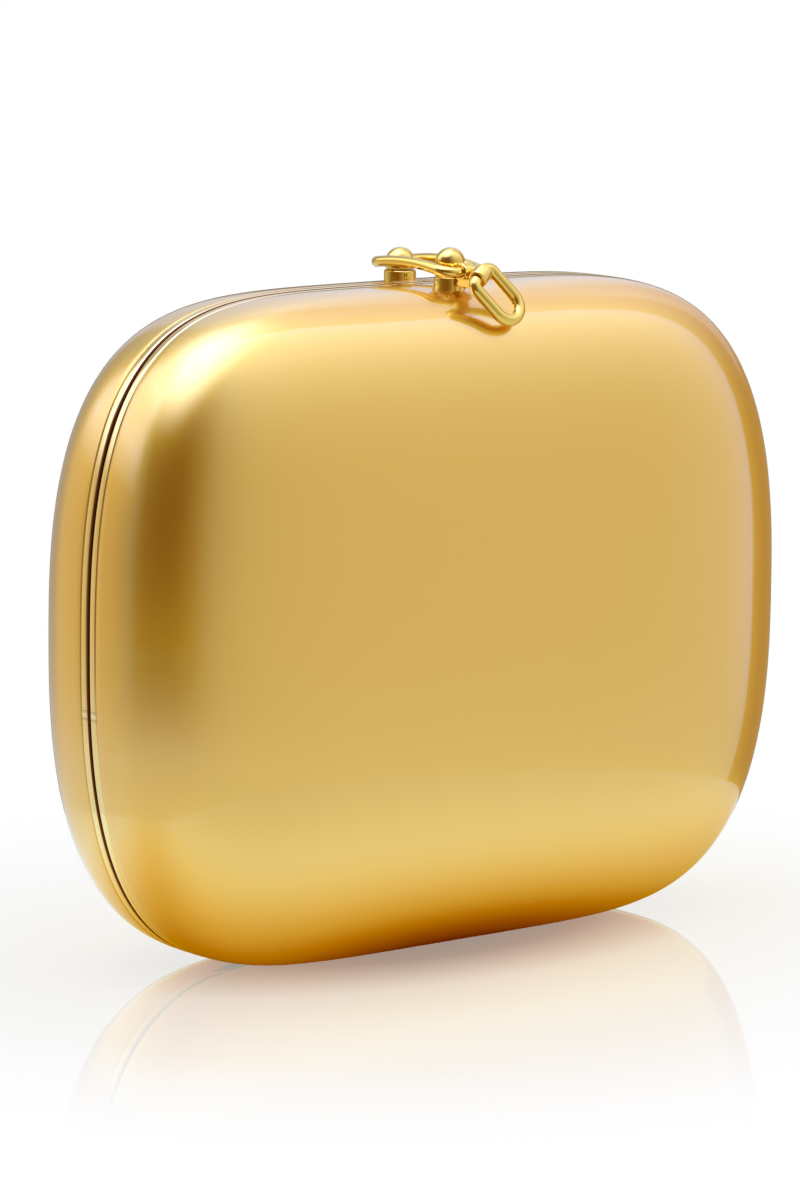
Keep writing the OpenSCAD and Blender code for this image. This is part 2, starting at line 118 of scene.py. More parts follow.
class BagLining(bpy.types.PropertyGroup):
    """Sizes of the lining, its bound edge and the slip pocket"""
    outer: length("Lining inset", "Inset of the lining's back", 1.3)
    inner: length("Lining face", "Inset of the lining's face", 2.1)
    edge: length("Lining edge", "Distance of the lining's edge from the seam", 6.1)
    steps: count("Lining steps", "Steps round the lining", 160)
    rows: count("Lining rows", "Rows from the edge to the middle", 28)
    binding_inset: length("Binding inset", "Inset of the bound edge", 2.76)
    binding_thickness: length("Binding thickness", "Thickness of the bound edge", 1.2)
    binding_width: length("Binding width", "Width of the bound edge", 1.5)
    stitches: count("Stitches", "Stitches round each bound edge", 150)
    stitch_length: length("Stitch length", "Length of one stitch", 2.1)
    stitch_radius: length("Stitch radius", "Half of the thread's thickness", 0.2)
    pocket_width: length("Pocket width", "Width of the slip pocket", 92.0)
    pocket_height: length("Pocket height", "Depth of the slip pocket", 56.0)
    pocket_foot: length("Pocket foot", "Height of the pocket's foot", 26.0)
    pocket_thickness: length("Pocket thickness", "Thickness of the pocket's panel", 0.9)


class BagClasp(bpy.types.PropertyGroup):
    """Sizes of the posts, the link, the knuckle and the pull ring"""
    post_offset: length("Post offset", "Distance of each post from the seam", 7.8)
    foot_radius: length("Foot radius", "Radius of a post's foot", 3.15)
    foot_height: length("Foot height", "Height of a foot over the crest", 1.6)
    head_radius: length("Head radius", "Radius of a post's domed head", 2.9)
    front_height: length("Front post height", "Height of the front post over the crest", 7.2)
    cap_height: length("Rear cap height", "Height of the rear cap over the crest", 6.05)
    cap_gap: length("Cap gap", "Gap between the rear foot and its cap", 0.25)
    wire: length("Link wire", "Radius of the link's wire", 1.05)
    link_half_width: length("Link half width", "From the middle to a rod of the link", 4.55)
    link_height: length("Link height", "Height of the top of the link's bow over the crest", 4.0)
    link_bow: length("Link bow", "Radius of the link's bow over the crown", 60.0)
    link_bar: length("Link bar", "From the front post along the link to its front bar", 4.7)
    link_corner: length("Link corner", "Bend radius of the link's front corners", 3.0)
    eye_radius: length("Eye radius", "Outside radius of the knuckle's eyes", 1.85)
    link_bore: length("Link bore", "Radius of the bore for the link", 1.11)
    ring_bore: length("Ring bore", "Radius of the bore for the ring", 1.26)
    link_eye: length("Link eye", "Length of the eye that holds the link", 2.8)
    ring_eye: length("Ring eye", "Length of the eye that holds the ring", 3.0)
    ring_forward: length("Ring forward", "Forward from the link's bar to the ring's bar", 4.7)
    ring_drop: length("Ring drop", "Down from the link's bar to the ring's bar", 0.3)
    arm_width: length("Arm width", "Width of the knuckle's arm", 2.7)
    arm_height: length("Arm height", "Height of the knuckle's arm", 2.0)
    ring_wire: length("Ring wire", "Radius of the ring's wire", 1.2)
    ring_half_width: length("Ring half width", "From the middle to a limb of the ring", 3.3)
    ring_length: length("Ring length", "From the ring's bar to its round end", 10.7)
    ring_corner: length("Ring corner", "Bend radius of the ring's corners", 1.5)
    ring_droop: angle("Ring droop", "How far the ring droops under the horizontal", 59.176)
    ring_turn: angle("Ring turn", "How far the ring is turned to the right", 20)
    ring_tilt: angle("Ring tilt", "How far the ring's bar rises to the right", 30)


class BagFinish(bpy.types.PropertyGroup):
    """Colours and gloss of the bag's materials"""
    shell_gold: colour("Shell gold", "Satin gold under the lacquer", (0.90, 0.53, 0.040))
    shell_deep: colour("Deep gold", "Slightly deeper tone in the satin gold", (0.87, 0.505, 0.032))
    shell_roughness: share("Satin", "Roughness of the satin gold", 0.32)
    lacquer: share("Lacquer", "Weight of the clear lacquer", 1.0)
    rim_gold: colour("Rim gold", "Colour of the polished rims", (0.97, 0.75, 0.32))
    clasp_gold: colour("Clasp gold", "Colour of the polished clasp", (0.88, 0.61, 0.13))
    polished_roughness: share("Polish", "Roughness of rims and clasp", 0.04)
    # Painted shade: the rims are darkened towards the seam, for the shade in the gap between them.
    seam_shade: colour("Seam shade", "Blackened gold where the rims meet", (0.200, 0.048, 0.010))
    seam_shade_half: length("Seam shade half", "How far each rim is blackened", 0.5)
    # Painted highlight: a paler band across the rims at their left end, with fine darker lines at
    # its ends.
    solder_gold: colour("Solder gold", "Paler gold where a rim is joined", (1.0, 0.87, 0.50))
    solder_height: length("Solder height", "Height of the joint at the left end of the rims", 52.3)
    solder_half: length("Solder half", "Half of the joint's length", 0.8)
    solder_line: length("Solder line", "Fine dark line at each end of the joint", 0.25)
    brass: colour("Brass", "Colour of the hinge", (0.70, 0.48, 0.20))
    steel: colour("Steel", "Colour of the hinge pin", (0.62, 0.60, 0.57))
    leather: colour("Lining leather", "Colour of the lining", (0.105, 0.050, 0.026))
    leather_dark: colour("Creases", "Colour in the leather's creases", (0.052, 0.024, 0.012))
    binding: colour("Binding leather", "Colour of the bound edge", (0.045, 0.020, 0.011))
    thread: colour("Thread", "Colour of the stitching", (0.42, 0.27, 0.13))


SETTINGS = {"bag_form": BagForm, "bag_rims": BagRims, "bag_lining": BagLining,
            "bag_clasp": BagClasp, "bag_finish": BagFinish}


# THE FORM

class Pillow:
    """|x/w|^side + |z/h|^crown + |y/d|^face = 1, with the crown of the base ground flat."""

    # How the steps of a face follow its turn, and how far they crowd where it turns most
    FACE_BLEND = 4
    CROWDING = 0.45

    def __init__(self, form):
        self.w, self.d = form.half_width, form.half_depth
        self.h = (form.top + form.base_flat) / 2
        self.middle = form.top - self.h
        self.side, self.crown, self.face = form.side, form.crown, form.face

    def corner(self, turn):
        """A point of the outline of half sizes 1 and 1."""
        c, s = math.cos(turn), math.sin(turn)
        total = abs(c) ** self.side + abs(s) ** self.crown
        return c * total ** (-1 / self.side), s * total ** (-1 / self.crown)

    def slice(self, y, inset):
        """Half width and half height of the form at a depth."""
        left = max(0.0, 1 - (abs(y) / (self.d - inset)) ** self.face)
        return ((self.w - inset) * left ** (1 / self.side),
                (self.h - inset) * left ** (1 / self.crown))

    def depths(self, steps, inset, edge):
        """Depths from the edge to the middle of a face, crowded where the face turns most."""
        found = [edge]
        for step in range(1, steps):
            u = step / steps
            e = QUARTER_TURN * (u + self.CROWDING * math.sin(FULL_TURN * u) / FULL_TURN)
            blend = math.cos(e) ** self.FACE_BLEND + math.sin(e) ** self.face
            y = (self.d - inset) * math.sin(e) / blend ** (1 / self.face)
            if y > found[-1] + edge / steps:
                found.append(y)
        return found

    def crest(self, x, y):
        """Height of the outside over a point."""
        left = 1 - (abs(x) / self.w) ** self.side - (abs(y) / self.d) ** self.face
        return self.middle + self.h * max(0.0, left) ** (1 / self.crown)

    def skin(self, x, z, inset):
        """Depth of a skin behind a point."""
        left = (1 - (abs(x) / (self.w - inset)) ** self.side
                - (abs(z - self.middle) / (self.h - inset)) ** self.crown)
        return (self.d - inset) * max(0.0, left) ** (1 / self.face)


# MODELLING

DOUBLES = 5e-7
SMOOTH_ANGLE = math.radians(32)

# Where a sheet's rounded edge has its rings, as shares of a quarter turn
OUTSIDE_TURNS, INSIDE_TURNS = (0.25, 0.5, 0.75, 1.0), (0.0, 0.5)


def leave_edit():
    """Back to object mode."""
    bpy.ops.object.mode_set(mode="OBJECT")


def settle():
    """Puts the place, turn and size of what is selected in its mesh."""
    bpy.ops.object.transform_apply(location=True, rotation=True, scale=True)


def clear_selection():
    """Object mode, with nothing selected."""
    if bpy.context.object and bpy.context.object.mode != "OBJECT":
        leave_edit()
    bpy.ops.object.select_all(action="DESELECT")


def make_active(piece):
    """Selects one object alone."""
    clear_selection()
    piece.select_set(True)
    bpy.context.view_layer.objects.active = piece


def edit(piece):
    """Edit mode on one object, with all of it selected."""
    make_active(piece)
    bpy.ops.object.mode_set(mode="EDIT")
    bpy.ops.mesh.select_all(action="SELECT")


def add_circle(sides, radius=1.0, location=(0, 0, 0), rotation=(0, 0, 0)):
    """An open circle whose place is in its mesh."""
    clear_selection()
    bpy.ops.mesh.primitive_circle_add(vertices=sides, radius=radius, location=location,
                                      rotation=rotation)
    settle()
    return bpy.context.object


def grow(move, scale=None, centre=(0, 0, 0)):
    """Extrudes the selected ring, moves it and resizes it about a point."""
    bpy.ops.mesh.extrude_region()
    bpy.ops.transform.translate(value=move)
    if scale is not None:
        bpy.ops.transform.resize(value=scale, center_override=centre)


def tidy_mesh(piece):
    """Doubles merged and faces turned outwards, back in object mode."""
    edit(piece)
    bpy.ops.mesh.remove_doubles(threshold=DOUBLES)
    bpy.ops.mesh.normals_make_consistent()
    leave_edit()
    return piece


def outline_wall(pillow, rings, sides, closed):
    """A wall through rings of (depth, half width, half height, lowest height).

    A closed wall comes back to its first ring, and an open one is shut at both ends.
    """
    wall = add_circle(sides)
    y, wide, high, _ = rings[0]
    for i, point in enumerate(wall.data.vertices):
        x, z = pillow.corner(FULL_TURN * i / sides)
        point.co = (wide * x, y, pillow.middle + high * z)
    edit(wall)
    path = rings[1:] + ([rings[0]] if closed else [])
    for ring in path:
        grow((0, ring[0] - y, 0), (ring[1] / wide, 1, ring[2] / high), (0, ring[0], pillow.middle))
        y, wide, high, _ = ring
    leave_edit()
    floors = [ring[3] for ring in rings[:1] + path for _ in range(sides)]
    for point, floor in zip(wall.data.vertices, floors):
        point.co.z = max(point.co.z, floor)
    if not closed:
        for start in (0, len(path) * sides):
            shut_ring(wall, range(start, start + sides))
    return tidy_mesh(wall)


def shut_ring(piece, points):
    """Closes a small ring by drawing it in to its middle."""
    edit(piece)
    bpy.ops.mesh.select_all(action="DESELECT")
    leave_edit()
    middle = Vector()
    for i in points:
        piece.data.vertices[i].select = True
        middle += piece.data.vertices[i].co / len(points)
    bpy.ops.object.mode_set(mode="EDIT")
    bpy.ops.mesh.select_mode(type="VERT")
    bpy.ops.mesh.extrude_region()
    bpy.ops.transform.resize(value=(0, 0, 0), center_override=middle)
    leave_edit()


def skin_wall(pillow, outer, inner, edge, steps, sides, edge_rounding=0.0):
    """A sheet between two insets, from the middle of its face out to its edge and back inside."""
    def ring(y, inset, floor):
        return (y, *pillow.slice(y, inset), floor)
    start = edge + edge_rounding
    outside = [ring(y, outer, outer) for y in reversed(pillow.depths(steps, outer, start))]
    inside = [ring(y, inner, inner) for y in pillow.depths(steps, inner, start)]
    bend = []
    if edge_rounding:
        for turn in OUTSIDE_TURNS:
            a = QUARTER_TURN * turn
            inset = outer + edge_rounding * (1 - math.cos(a))
            bend.append(ring(edge + edge_rounding * (1 - math.sin(a)), inset, inset))
        for turn in INSIDE_TURNS:
            a = QUARTER_TURN * turn
            inset = inner - edge_rounding * (1 - math.sin(a))
            bend.append(ring(edge + edge_rounding * (1 - math.cos(a)), inset, inset))
    return outline_wall(pillow, outside + bend + inside, sides, closed=False)


def profile_ring(pillow, profile, sides):
    """A frame whose section is a closed profile of (inset, depth)."""
    rings = [(y, pillow.w - inset, pillow.h - inset, inset) for inset, y in profile]
    return outline_wall(pillow, rings, sides, closed=True)


def turned(profile, centre, sides, shut=True):
    """A lathe-turned piece from a profile of (radius, height) about an upright axis.

    A profile that comes back to its start isn't shut at its ends.
    """
    radius, z = profile[0]
    piece = add_circle(sides, radius, (centre[0], centre[1], z))
    edit(piece)
    for next_radius, next_z in profile[1:]:
        factor = next_radius / radius
        grow((0, 0, next_z - z), (factor, factor, 1), (centre[0], centre[1], next_z))
        radius, z = next_radius, next_z
    leave_edit()
    if shut:
        last = (len(profile) - 1) * sides
        for start in (0, last):
            shut_ring(piece, range(start, start + sides))
    return tidy_mesh(piece)


def arc(middle_r, middle_z, radius, start, end, steps):
    """Points of a profile on an arc, from one angle to another in degrees."""
    angles = [math.radians(start + (end - start) * i / steps) for i in range(steps + 1)]
    return [(middle_r + radius * math.cos(a), middle_z + radius * math.sin(a)) for a in angles]


def bend_wire(turn, centre, steps, axis=(0, 0, 1)):
    """Spins the selected section about an axis, anticlockwise from the axis's tip."""
    bpy.ops.mesh.spin(steps=steps, angle=-turn, center=centre, axis=axis)


def place(piece, matrix):
    """Moves a piece and puts its new place in its mesh."""
    piece.matrix_world = matrix
    make_active(piece)
    settle()
    return piece


def turn_over(piece):
    """Mirrors a piece from the rear half to the front half."""
    edit(piece)
    bpy.ops.transform.resize(value=(1, -1, 1), center_override=(0, 0, 0))
    bpy.ops.mesh.normals_make_consistent()
    leave_edit()
    return piece


def apply_all(piece):
    """Applies every modifier of a piece."""
    make_active(piece)
    for modifier in list(piece.modifiers):
        bpy.ops.object.modifier_apply(modifier=modifier.name)
    return piece


def combine(piece, other, operation):
    """Joins or cuts a piece with another one, which is then gone."""
    modifier = piece.modifiers.new("combine", "BOOLEAN")
    modifier.operation = operation
    modifier.solver = "EXACT"
    modifier.object = other
    apply_all(piece)
    bpy.data.objects.remove(other)
    return piece


def block(low, high):
    """A plain block between two corners."""
    low, high = Vector(low), Vector(high)
    clear_selection()
    bpy.ops.mesh.primitive_cube_add(size=1, location=(low + high) / 2, scale=high - low)
    settle()
    return bpy.context.object


def bevel(piece, width, segments, limit=40):
    """Rounds the edges of a piece that are sharper than a limit in degrees."""
    modifier = piece.modifiers.new("bevel", "BEVEL")
    modifier.width = width
    modifier.segments = segments
    modifier.limit_method = "ANGLE"
    modifier.angle_limit = math.radians(limit)
    return apply_all(piece)


def copy_piece(piece):
    """A copy with its own mesh."""
    twin = piece.copy()
    twin.data = piece.data.copy()
    bpy.context.scene.collection.objects.link(twin)
    return twin


def join(pieces):
    """Several objects as one."""
    make_active(pieces[0])
    for piece in pieces[1:]:
        piece.select_set(True)
    if len(pieces) > 1:
        bpy.ops.object.join()
    return pieces[0]


STITCH_SIDES = 8
STITCH_RINGS = 5


def sew(lining, places):
    """Stitches at their places, as one piece: one is modelled along the width and copied."""
    clear_selection()
    bpy.ops.mesh.primitive_uv_sphere_add(segments=STITCH_SIDES, ring_count=STITCH_RINGS, radius=1)
    pattern = place(bpy.context.object, Matrix.Diagonal(
        (lining.stitch_length / 2, lining.stitch_radius, lining.stitch_radius, 1)))
    stitches = [copy_piece(pattern) for _ in places]
    for stitch, matrix in zip(stitches, places):
        stitch.matrix_world = matrix
    bpy.data.objects.remove(pattern)
    row = join(stitches)
    make_active(row)
    settle()
    return row


# MATERIALS

WHITE = (1, 1, 1, 1)

# Clouds: how many lie in a metre, and how many layers of finer ones they have
SHELL_CLOUDS, SHELL_SMUDGES, SHELL_GRAIN = (14.0, 3.0), (36.0, 4.0), (5200.0, 2.0)
GOLD_CLOUDS, STAINS, LEATHER_CLOUDS = (160.0, 3.0), (130.0, 4.0), (45.0, 4.0)
# Lines, pores and twist: how many lie in a metre, for lines along each axis
HAIRLINES, DRAWN_LINES = (400.0, 400.0, 9000.0), (60.0, 6000.0, 6000.0)
LINING_PORES, BINDING_PORES, FINE_PORES, FINE_LAYERS = 1500.0, 1900.0, 4, 3.0
THREAD_TWIST, THREAD_WAVER = 900.0, 1.0
# Relief: how strongly it shows, and how high it stands
SHELL_RELIEF, GOLD_RELIEF, DRAWN_RELIEF = (0.12, 0.04 * MM), (0.05, 0.01 * MM), (0.2, 0.02 * MM)
LEATHER_RELIEF, THREAD_RELIEF = (0.5, 0.18 * MM), (0.5, 0.1 * MM)
# Roughness, and how far a pattern moves it
BRASS_ROUGHNESS, STEEL_ROUGHNESS, STAIN_SPREAD, SMUDGE_SPREAD = 0.28, 0.2, 0.1, 0.04
COAT_ROUGHNESS, COAT_IOR = 0.02, 2.0
GOLD_DULL, GOLD_DULL_CLOUDS = 0.03, (0.45, 0.8)
LEATHER_ROUGHNESS, PEBBLE_POLISH = 0.72, 0.18
THREAD_ROUGHNESS, TWIST_POLISH, THREAD_SHEEN = 0.6, 0.1, 0.15
LEATHER_SPECULAR, LEATHER_SHEEN, LEATHER_SHEEN_ROUGHNESS = 0.35, 0.08, 0.5
# The darker tone of a pattern, as a share of the colour
GOLD_TONE, STAIN_TONE, TWIST_TONE, BINDING_CREASES = 0.93, 0.8, 0.7, 0.5
# Leather: how wide a crease is, the least colour of a pebble, the fine pores in the relief
PEBBLE_EDGE, PEBBLE_TONE, FINE_SHARE = 0.32, 0.6, 0.35
# The painted highlight on the rims, a pale band with darker end lines: where the left end starts,
# soft ends, tone and dullness
LEFT_END = (-70.0 * MM, -72.0 * MM)
HIGHLIGHT_SOFT, HIGHLIGHT_LINE_SOFT, HIGHLIGHT_LINE_TONE, HIGHLIGHT_DULL = 0.6 * MM, 0.2 * MM, 0.68, 0.08
# Painted shade on the rims' edges where they meet, for the shade in their gap: where it starts to
# fade, and its dullness
SEAM_SOFT, SEAM_DULL = 1.15, 0.4


class Value:
    """A socket that takes part in sums."""

    def __init__(self, paint, socket):
        self.paint, self.socket = paint, socket

    def _with(self, operation, first, second):
        return self.paint.node("ShaderNodeMath", {"operation": operation}, {0: first, 1: second})[0]

    def __add__(self, other): return self._with("ADD", self, other)
    def __radd__(self, other): return self._with("ADD", other, self)
    def __sub__(self, other): return self._with("SUBTRACT", self, other)
    def __rsub__(self, other): return self._with("SUBTRACT", other, self)
    def __mul__(self, other): return self._with("MULTIPLY", self, other)
    def __rmul__(self, other): return self._with("MULTIPLY", other, self)
    def __truediv__(self, other): return self._with("DIVIDE", self, other)
    def __pow__(self, other): return self._with("POWER", self, other)


class Outputs:
    """The output sockets of a node, by name or by number."""

    def __init__(self, paint, node):
        self.paint, self.node = paint, node

    def __getitem__(self, key):
        return Value(self.paint, self.node.outputs[key])


class Paint:
    """A node tree that is written as a list of nodes."""

    def __init__(self, tree):
        self.tree = tree
        tree.nodes.clear()

    def node(self, kind, settings=None, inputs=None):
        """One node: its settings first, then values or links for its sockets."""
        made = self.tree.nodes.new(kind)
        for key, value in (settings or {}).items():
            if key == "stops":
                self._ramp(made.color_ramp, value)
            else:
                setattr(made, key, value)
        for key, value in (inputs or {}).items():
            if isinstance(value, Value):
                self.tree.links.new(value.socket, made.inputs[key])
            else:
                made.inputs[key].default_value = value
        return Outputs(self, made)

    @staticmethod
    def _ramp(ramp, stops):
        ramp.elements.remove(ramp.elements[1])
        for number, (position, tone) in enumerate(stops):
            element = ramp.elements.new(position) if number else ramp.elements[0]
            element.position = position
            element.color = (*tone, 1)

    def place(self):
        """The place on the object."""
        return self.node("ShaderNodeTexCoord")["Object"]

    def noise(self, where, scale=1.0, detail=2.0):
        """Clouds of a fineness."""
        return self.node("ShaderNodeTexNoise", None,
                         {"Vector": where, "Scale": scale, "Detail": detail})["Fac"]

    def stretch(self, where, scale):
        """A place, scaled along each axis."""
        return self.node("ShaderNodeMapping", None, {"Vector": where, "Scale": scale})["Vector"]

    def fade(self, value, low, high):
        """0 under low, 1 over high."""
        return self.node("ShaderNodeMapRange", {"clamp": True},
                         {"Value": value, "From Min": low, "From Max": high})["Result"]

    def window(self, value, low, high, soft):
        """1 between two limits, with soft sides inside them."""
        return self.fade(value, low, low + soft) * self.fade(value, high, high - soft)

    def mix(self, factor, first, second):
        """Between two colours."""
        return self.node("ShaderNodeMix", {"data_type": "RGBA"},
                         {0: factor, 6: first, 7: second})[2]

    def bump(self, height, strength, distance):
        """A normal that follows a height."""
        return self.node("ShaderNodeBump", None,
                         {"Height": height, "Strength": strength, "Distance": distance})["Normal"]

    def split(self, where):
        """The three numbers of a place or a direction."""
        return self.node("ShaderNodeSeparateXYZ", None, {0: where})

    def blend(self, factor, first, second):
        """Between two shaders."""
        return self.node("ShaderNodeMixShader", None, {0: factor, 1: first, 2: second})[0]

    def clear(self, tone=WHITE):
        """A shader that lets all light through."""
        return self.node("ShaderNodeBsdfTransparent", None, {"Color": tone})[0]

    def light(self, kind, tone, strength=1.0):
        """A shader that gives light: an emission or a background."""
        return self.node(kind, None, {"Color": tone, "Strength": strength})[0]

    def finish(self, shader):
        """The material's surface."""
        self.node("ShaderNodeOutputMaterial", None, {"Surface": shader})

    def surface(self, sockets):
        """The material's surface, from one shader's sockets."""
        self.finish(self.node("ShaderNodeBsdfPrincipled", None, sockets)["BSDF"])


def rgba(tone, factor=1.0):
    """A colour with its alpha, made lighter or darker."""
    return tuple(channel * factor for channel in tone) + (1.0,)


def varied(middle, spread, pattern):
    """A value that a pattern moves up and down."""
    return middle - spread / 2 + spread * pattern


def new_material(name):
    """A new material, its nodes and the place on the object."""
    material = bpy.data.materials.new(name)
    material.use_nodes = True
    paint = Paint(material.node_tree)
    return material, paint, paint.place()


def shell_material(finish):
    """Satin gold under a thick clear lacquer: the gold is soft and the lacquer is sharp."""
    material, paint, spot = new_material("satin_gold_lacquered")
    clouds = paint.noise(spot, *SHELL_CLOUDS)
    grain = paint.noise(spot, *SHELL_GRAIN)
    smudges = paint.noise(spot, *SHELL_SMUDGES)
    tone = paint.mix(clouds, rgba(finish.shell_gold), rgba(finish.shell_deep))
    paint.surface({
        "Base Color": tone, "Metallic": 1.0,
        "Roughness": varied(finish.shell_roughness, SMUDGE_SPREAD, smudges),
        "Coat Weight": finish.lacquer, "Coat Roughness": COAT_ROUGHNESS, "Coat IOR": COAT_IOR,
        "Normal": paint.bump(grain, *SHELL_RELIEF)})
    return material


def polished_material(finish, name, gold, seam=None):
    """Mirror gold with hairlines from handling.

    The rims get painted shade where they meet, for the shade in the gap between them, and a painted
    highlight with darker end lines at their left end.
    """
    material, paint, spot = new_material(name)
    clouds = paint.noise(spot, *GOLD_CLOUDS)
    hairlines = paint.noise(paint.stretch(spot, HAIRLINES))
    tone = paint.mix(clouds, rgba(gold), rgba(gold, GOLD_TONE))
    rough = finish.polished_roughness + GOLD_DULL * paint.fade(clouds, *GOLD_DULL_CLOUDS)
    if seam:
        axes = paint.split(spot)
        left_end = paint.fade(axes["X"], *LEFT_END)
        # Painted highlight: a paler, duller band across the rims' left end, with darker lines at
        # its ends.
        for margin, soft, gold_here in (
                (finish.solder_line, HIGHLIGHT_LINE_SOFT, rgba(gold, HIGHLIGHT_LINE_TONE)),
                (0.0, HIGHLIGHT_SOFT, rgba(finish.solder_gold))):
            reach = finish.solder_half + margin
            painted_highlight = left_end * paint.window(axes["Z"], finish.solder_height - reach,
                                            finish.solder_height + reach, soft)
            tone = paint.mix(painted_highlight, tone, gold_here)
            rough = rough + HIGHLIGHT_DULL * painted_highlight
        # Painted shade: the rims turn dark and dull towards the seam, for the shade in the gap
        # between them.
        y = axes["Y"]
        painted_seam_mask = paint.fade(y * y, (seam * SEAM_SOFT) ** 2, seam ** 2)
        tone = paint.mix(painted_seam_mask, tone, rgba(finish.seam_shade))
        rough = rough + SEAM_DULL * painted_seam_mask
    paint.surface({
        "Base Color": tone, "Metallic": 1.0, "Roughness": rough,
        "Normal": paint.bump(hairlines, *GOLD_RELIEF)})
    return material


def drawn_material(name, tone, roughness):
    """Drawn or rolled metal with its fine lines along the width."""
    material, paint, spot = new_material(name)
    lines = paint.noise(paint.stretch(spot, DRAWN_LINES))
    stains = paint.noise(spot, *STAINS)
    paint.surface({
        "Base Color": paint.mix(stains, rgba(tone), rgba(tone, STAIN_TONE)), "Metallic": 1.0,
        "Roughness": varied(roughness, STAIN_SPREAD, stains),
        "Normal": paint.bump(lines, *DRAWN_RELIEF)})
    return material


def leather_material(name, tone, dark, pores):
    """Fine leather: pebbled grain, darker in its creases."""
    material, paint, spot = new_material(name)
    cells = paint.node("ShaderNodeTexVoronoi", {"feature": "DISTANCE_TO_EDGE"},
                       {"Vector": spot, "Scale": pores})["Distance"]
    pebbles = paint.fade(cells, 0.0, PEBBLE_EDGE)
    clouds = paint.noise(spot, *LEATHER_CLOUDS)
    tone_here = paint.mix(pebbles * (PEBBLE_TONE + (1 - PEBBLE_TONE) * clouds),
                          rgba(dark), rgba(tone))
    fine = paint.noise(spot, pores * FINE_PORES, FINE_LAYERS)
    paint.surface({
        "Base Color": tone_here, "Roughness": LEATHER_ROUGHNESS - PEBBLE_POLISH * pebbles,
        "Specular IOR Level": LEATHER_SPECULAR,
        "Sheen Weight": LEATHER_SHEEN, "Sheen Roughness": LEATHER_SHEEN_ROUGHNESS,
        "Normal": paint.bump(pebbles + FINE_SHARE * fine, *LEATHER_RELIEF)})
    return material


def thread_material(finish):
    """Waxed thread with its twist."""
    material, paint, spot = new_material("waxed_thread")
    twist = paint.node("ShaderNodeTexWave", {"bands_direction": "DIAGONAL"},
                       {"Vector": spot, "Scale": THREAD_TWIST,
                        "Distortion": THREAD_WAVER})["Fac"]
    paint.surface({
        "Base Color": paint.mix(twist, rgba(finish.thread, TWIST_TONE), rgba(finish.thread)),
        "Roughness": THREAD_ROUGHNESS - TWIST_POLISH * twist, "Sheen Weight": THREAD_SHEEN,
        "Normal": paint.bump(twist, *THREAD_RELIEF)})
    return material


def materials(scene):
    """All finishes of the bag, made once."""
    finish = scene.bag_finish
    makers = {
        "shell": (shell_material, finish),
        "polished": (polished_material, finish, "polished_gold", finish.clasp_gold),
        "rim": (polished_material, finish, "polished_rim_gold", finish.rim_gold,
                finish.seam_shade_half),
        "brass": (drawn_material, "hinge_brass", finish.brass, BRASS_ROUGHNESS),
        "steel": (drawn_material, "pin_steel", finish.steel, STEEL_ROUGHNESS),
        "leather": (leather_material, "lining_leather", finish.leather, finish.leather_dark,
                    LINING_PORES),
        "binding": (leather_material, "binding_leather", finish.binding,
                    rgba(finish.binding, BINDING_CREASES)[:3], BINDING_PORES),
        "thread": (thread_material, finish)}
    for key, (make, *values) in makers.items():
        if "bag_" + key not in scene:
            scene["bag_" + key] = make(*values).name
    return {key: bpy.data.materials[scene["bag_" + key]] for key in makers}


# PIECES

class Link:
    """Where the bowed link runs."""

    def __init__(self, clasp, crest):
        self.top, self.bow = crest + clasp.link_height, clasp.link_bow
        self.rear = clasp.post_offset
        self.corner = clasp.link_corner - clasp.post_offset - clasp.link_bar
        lean = self.turn(self.corner)
        self.bar_y = self.corner - clasp.link_corner * math.cos(lean)
        self.bar_z = self.height(self.corner) + clasp.link_corner * math.sin(lean)
        self.ring_eye = Vector((0, self.bar_y - clasp.ring_forward, self.bar_z - clasp.ring_drop))

    def turn(self, y):
        """How far the bow has turned at a depth."""
        return math.asin(y / self.bow)

    def height(self, y):
        """Height of the wire's middle at a depth."""
        return self.top - self.bow * (1 - math.cos(self.turn(y)))

    def upright(self, y):
        """The axis that stands square to the link at a depth."""
        return Vector((0, math.sin(self.turn(y)), math.cos(self.turn(y))))


def ring_frame(clasp, link):
    """The place of the ring's eye, with its bar along X."""
    return (Matrix.Translation(link.ring_eye) @ Matrix.Rotation(clasp.ring_turn, 4, "Z")
            @ Matrix.Rotation(-clasp.ring_tilt, 4, "Y"))


SLOTS = {"shell": "shell_gold", "polished": "polished_gold", "rim": "polished_gold",
         "brass": "hinge_brass", "steel": "pin_steel",
         "leather": "lining_leather", "binding": "binding_leather"}


class PieceOperator:
    """What the operators of the bag share."""
    bl_options = {"REGISTER", "UNDO"}

    def start(self, context):
        """The scene, when the form and the finishes are made."""
        scene = context.scene
        self.pillow, self.finishes = Pillow(scene.bag_form), materials(scene)
        return scene

    def done(self):
        """An operator's answer, with nothing left selected."""
        clear_selection()
        return {"FINISHED"}

    def paint(self, piece, finish, slot=None):
        """Gives a piece its material."""
        piece.data.materials.clear()
        piece.data.materials.append(self.finishes[finish])
        slot or SLOTS[finish]

    def deliver(self, piece, name, body, finish, *nodes, slot=None):
        """Names, smooths and paints a finished piece and sets it on its body."""
        make_active(piece)
        bpy.ops.object.shade_smooth_by_angle(angle=SMOOTH_ANGLE)
        piece.name = piece.data.name = name
        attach(piece, body)
        self.paint(piece, finish, slot)
        if nodes:
            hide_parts(*nodes)
        return piece

    def halves(self, make, name, finish, *nodes, slot=None):
        """Makes one piece for each half: rear, then front."""
        for half in ("rear", "front"):
            piece = make()
            if half == "front":
                turn_over(piece)
            self.deliver(piece, f"{half}_{name}", half + "_half", finish,
                         *(f"{half}_{node}" for node in nodes), slot=slot)


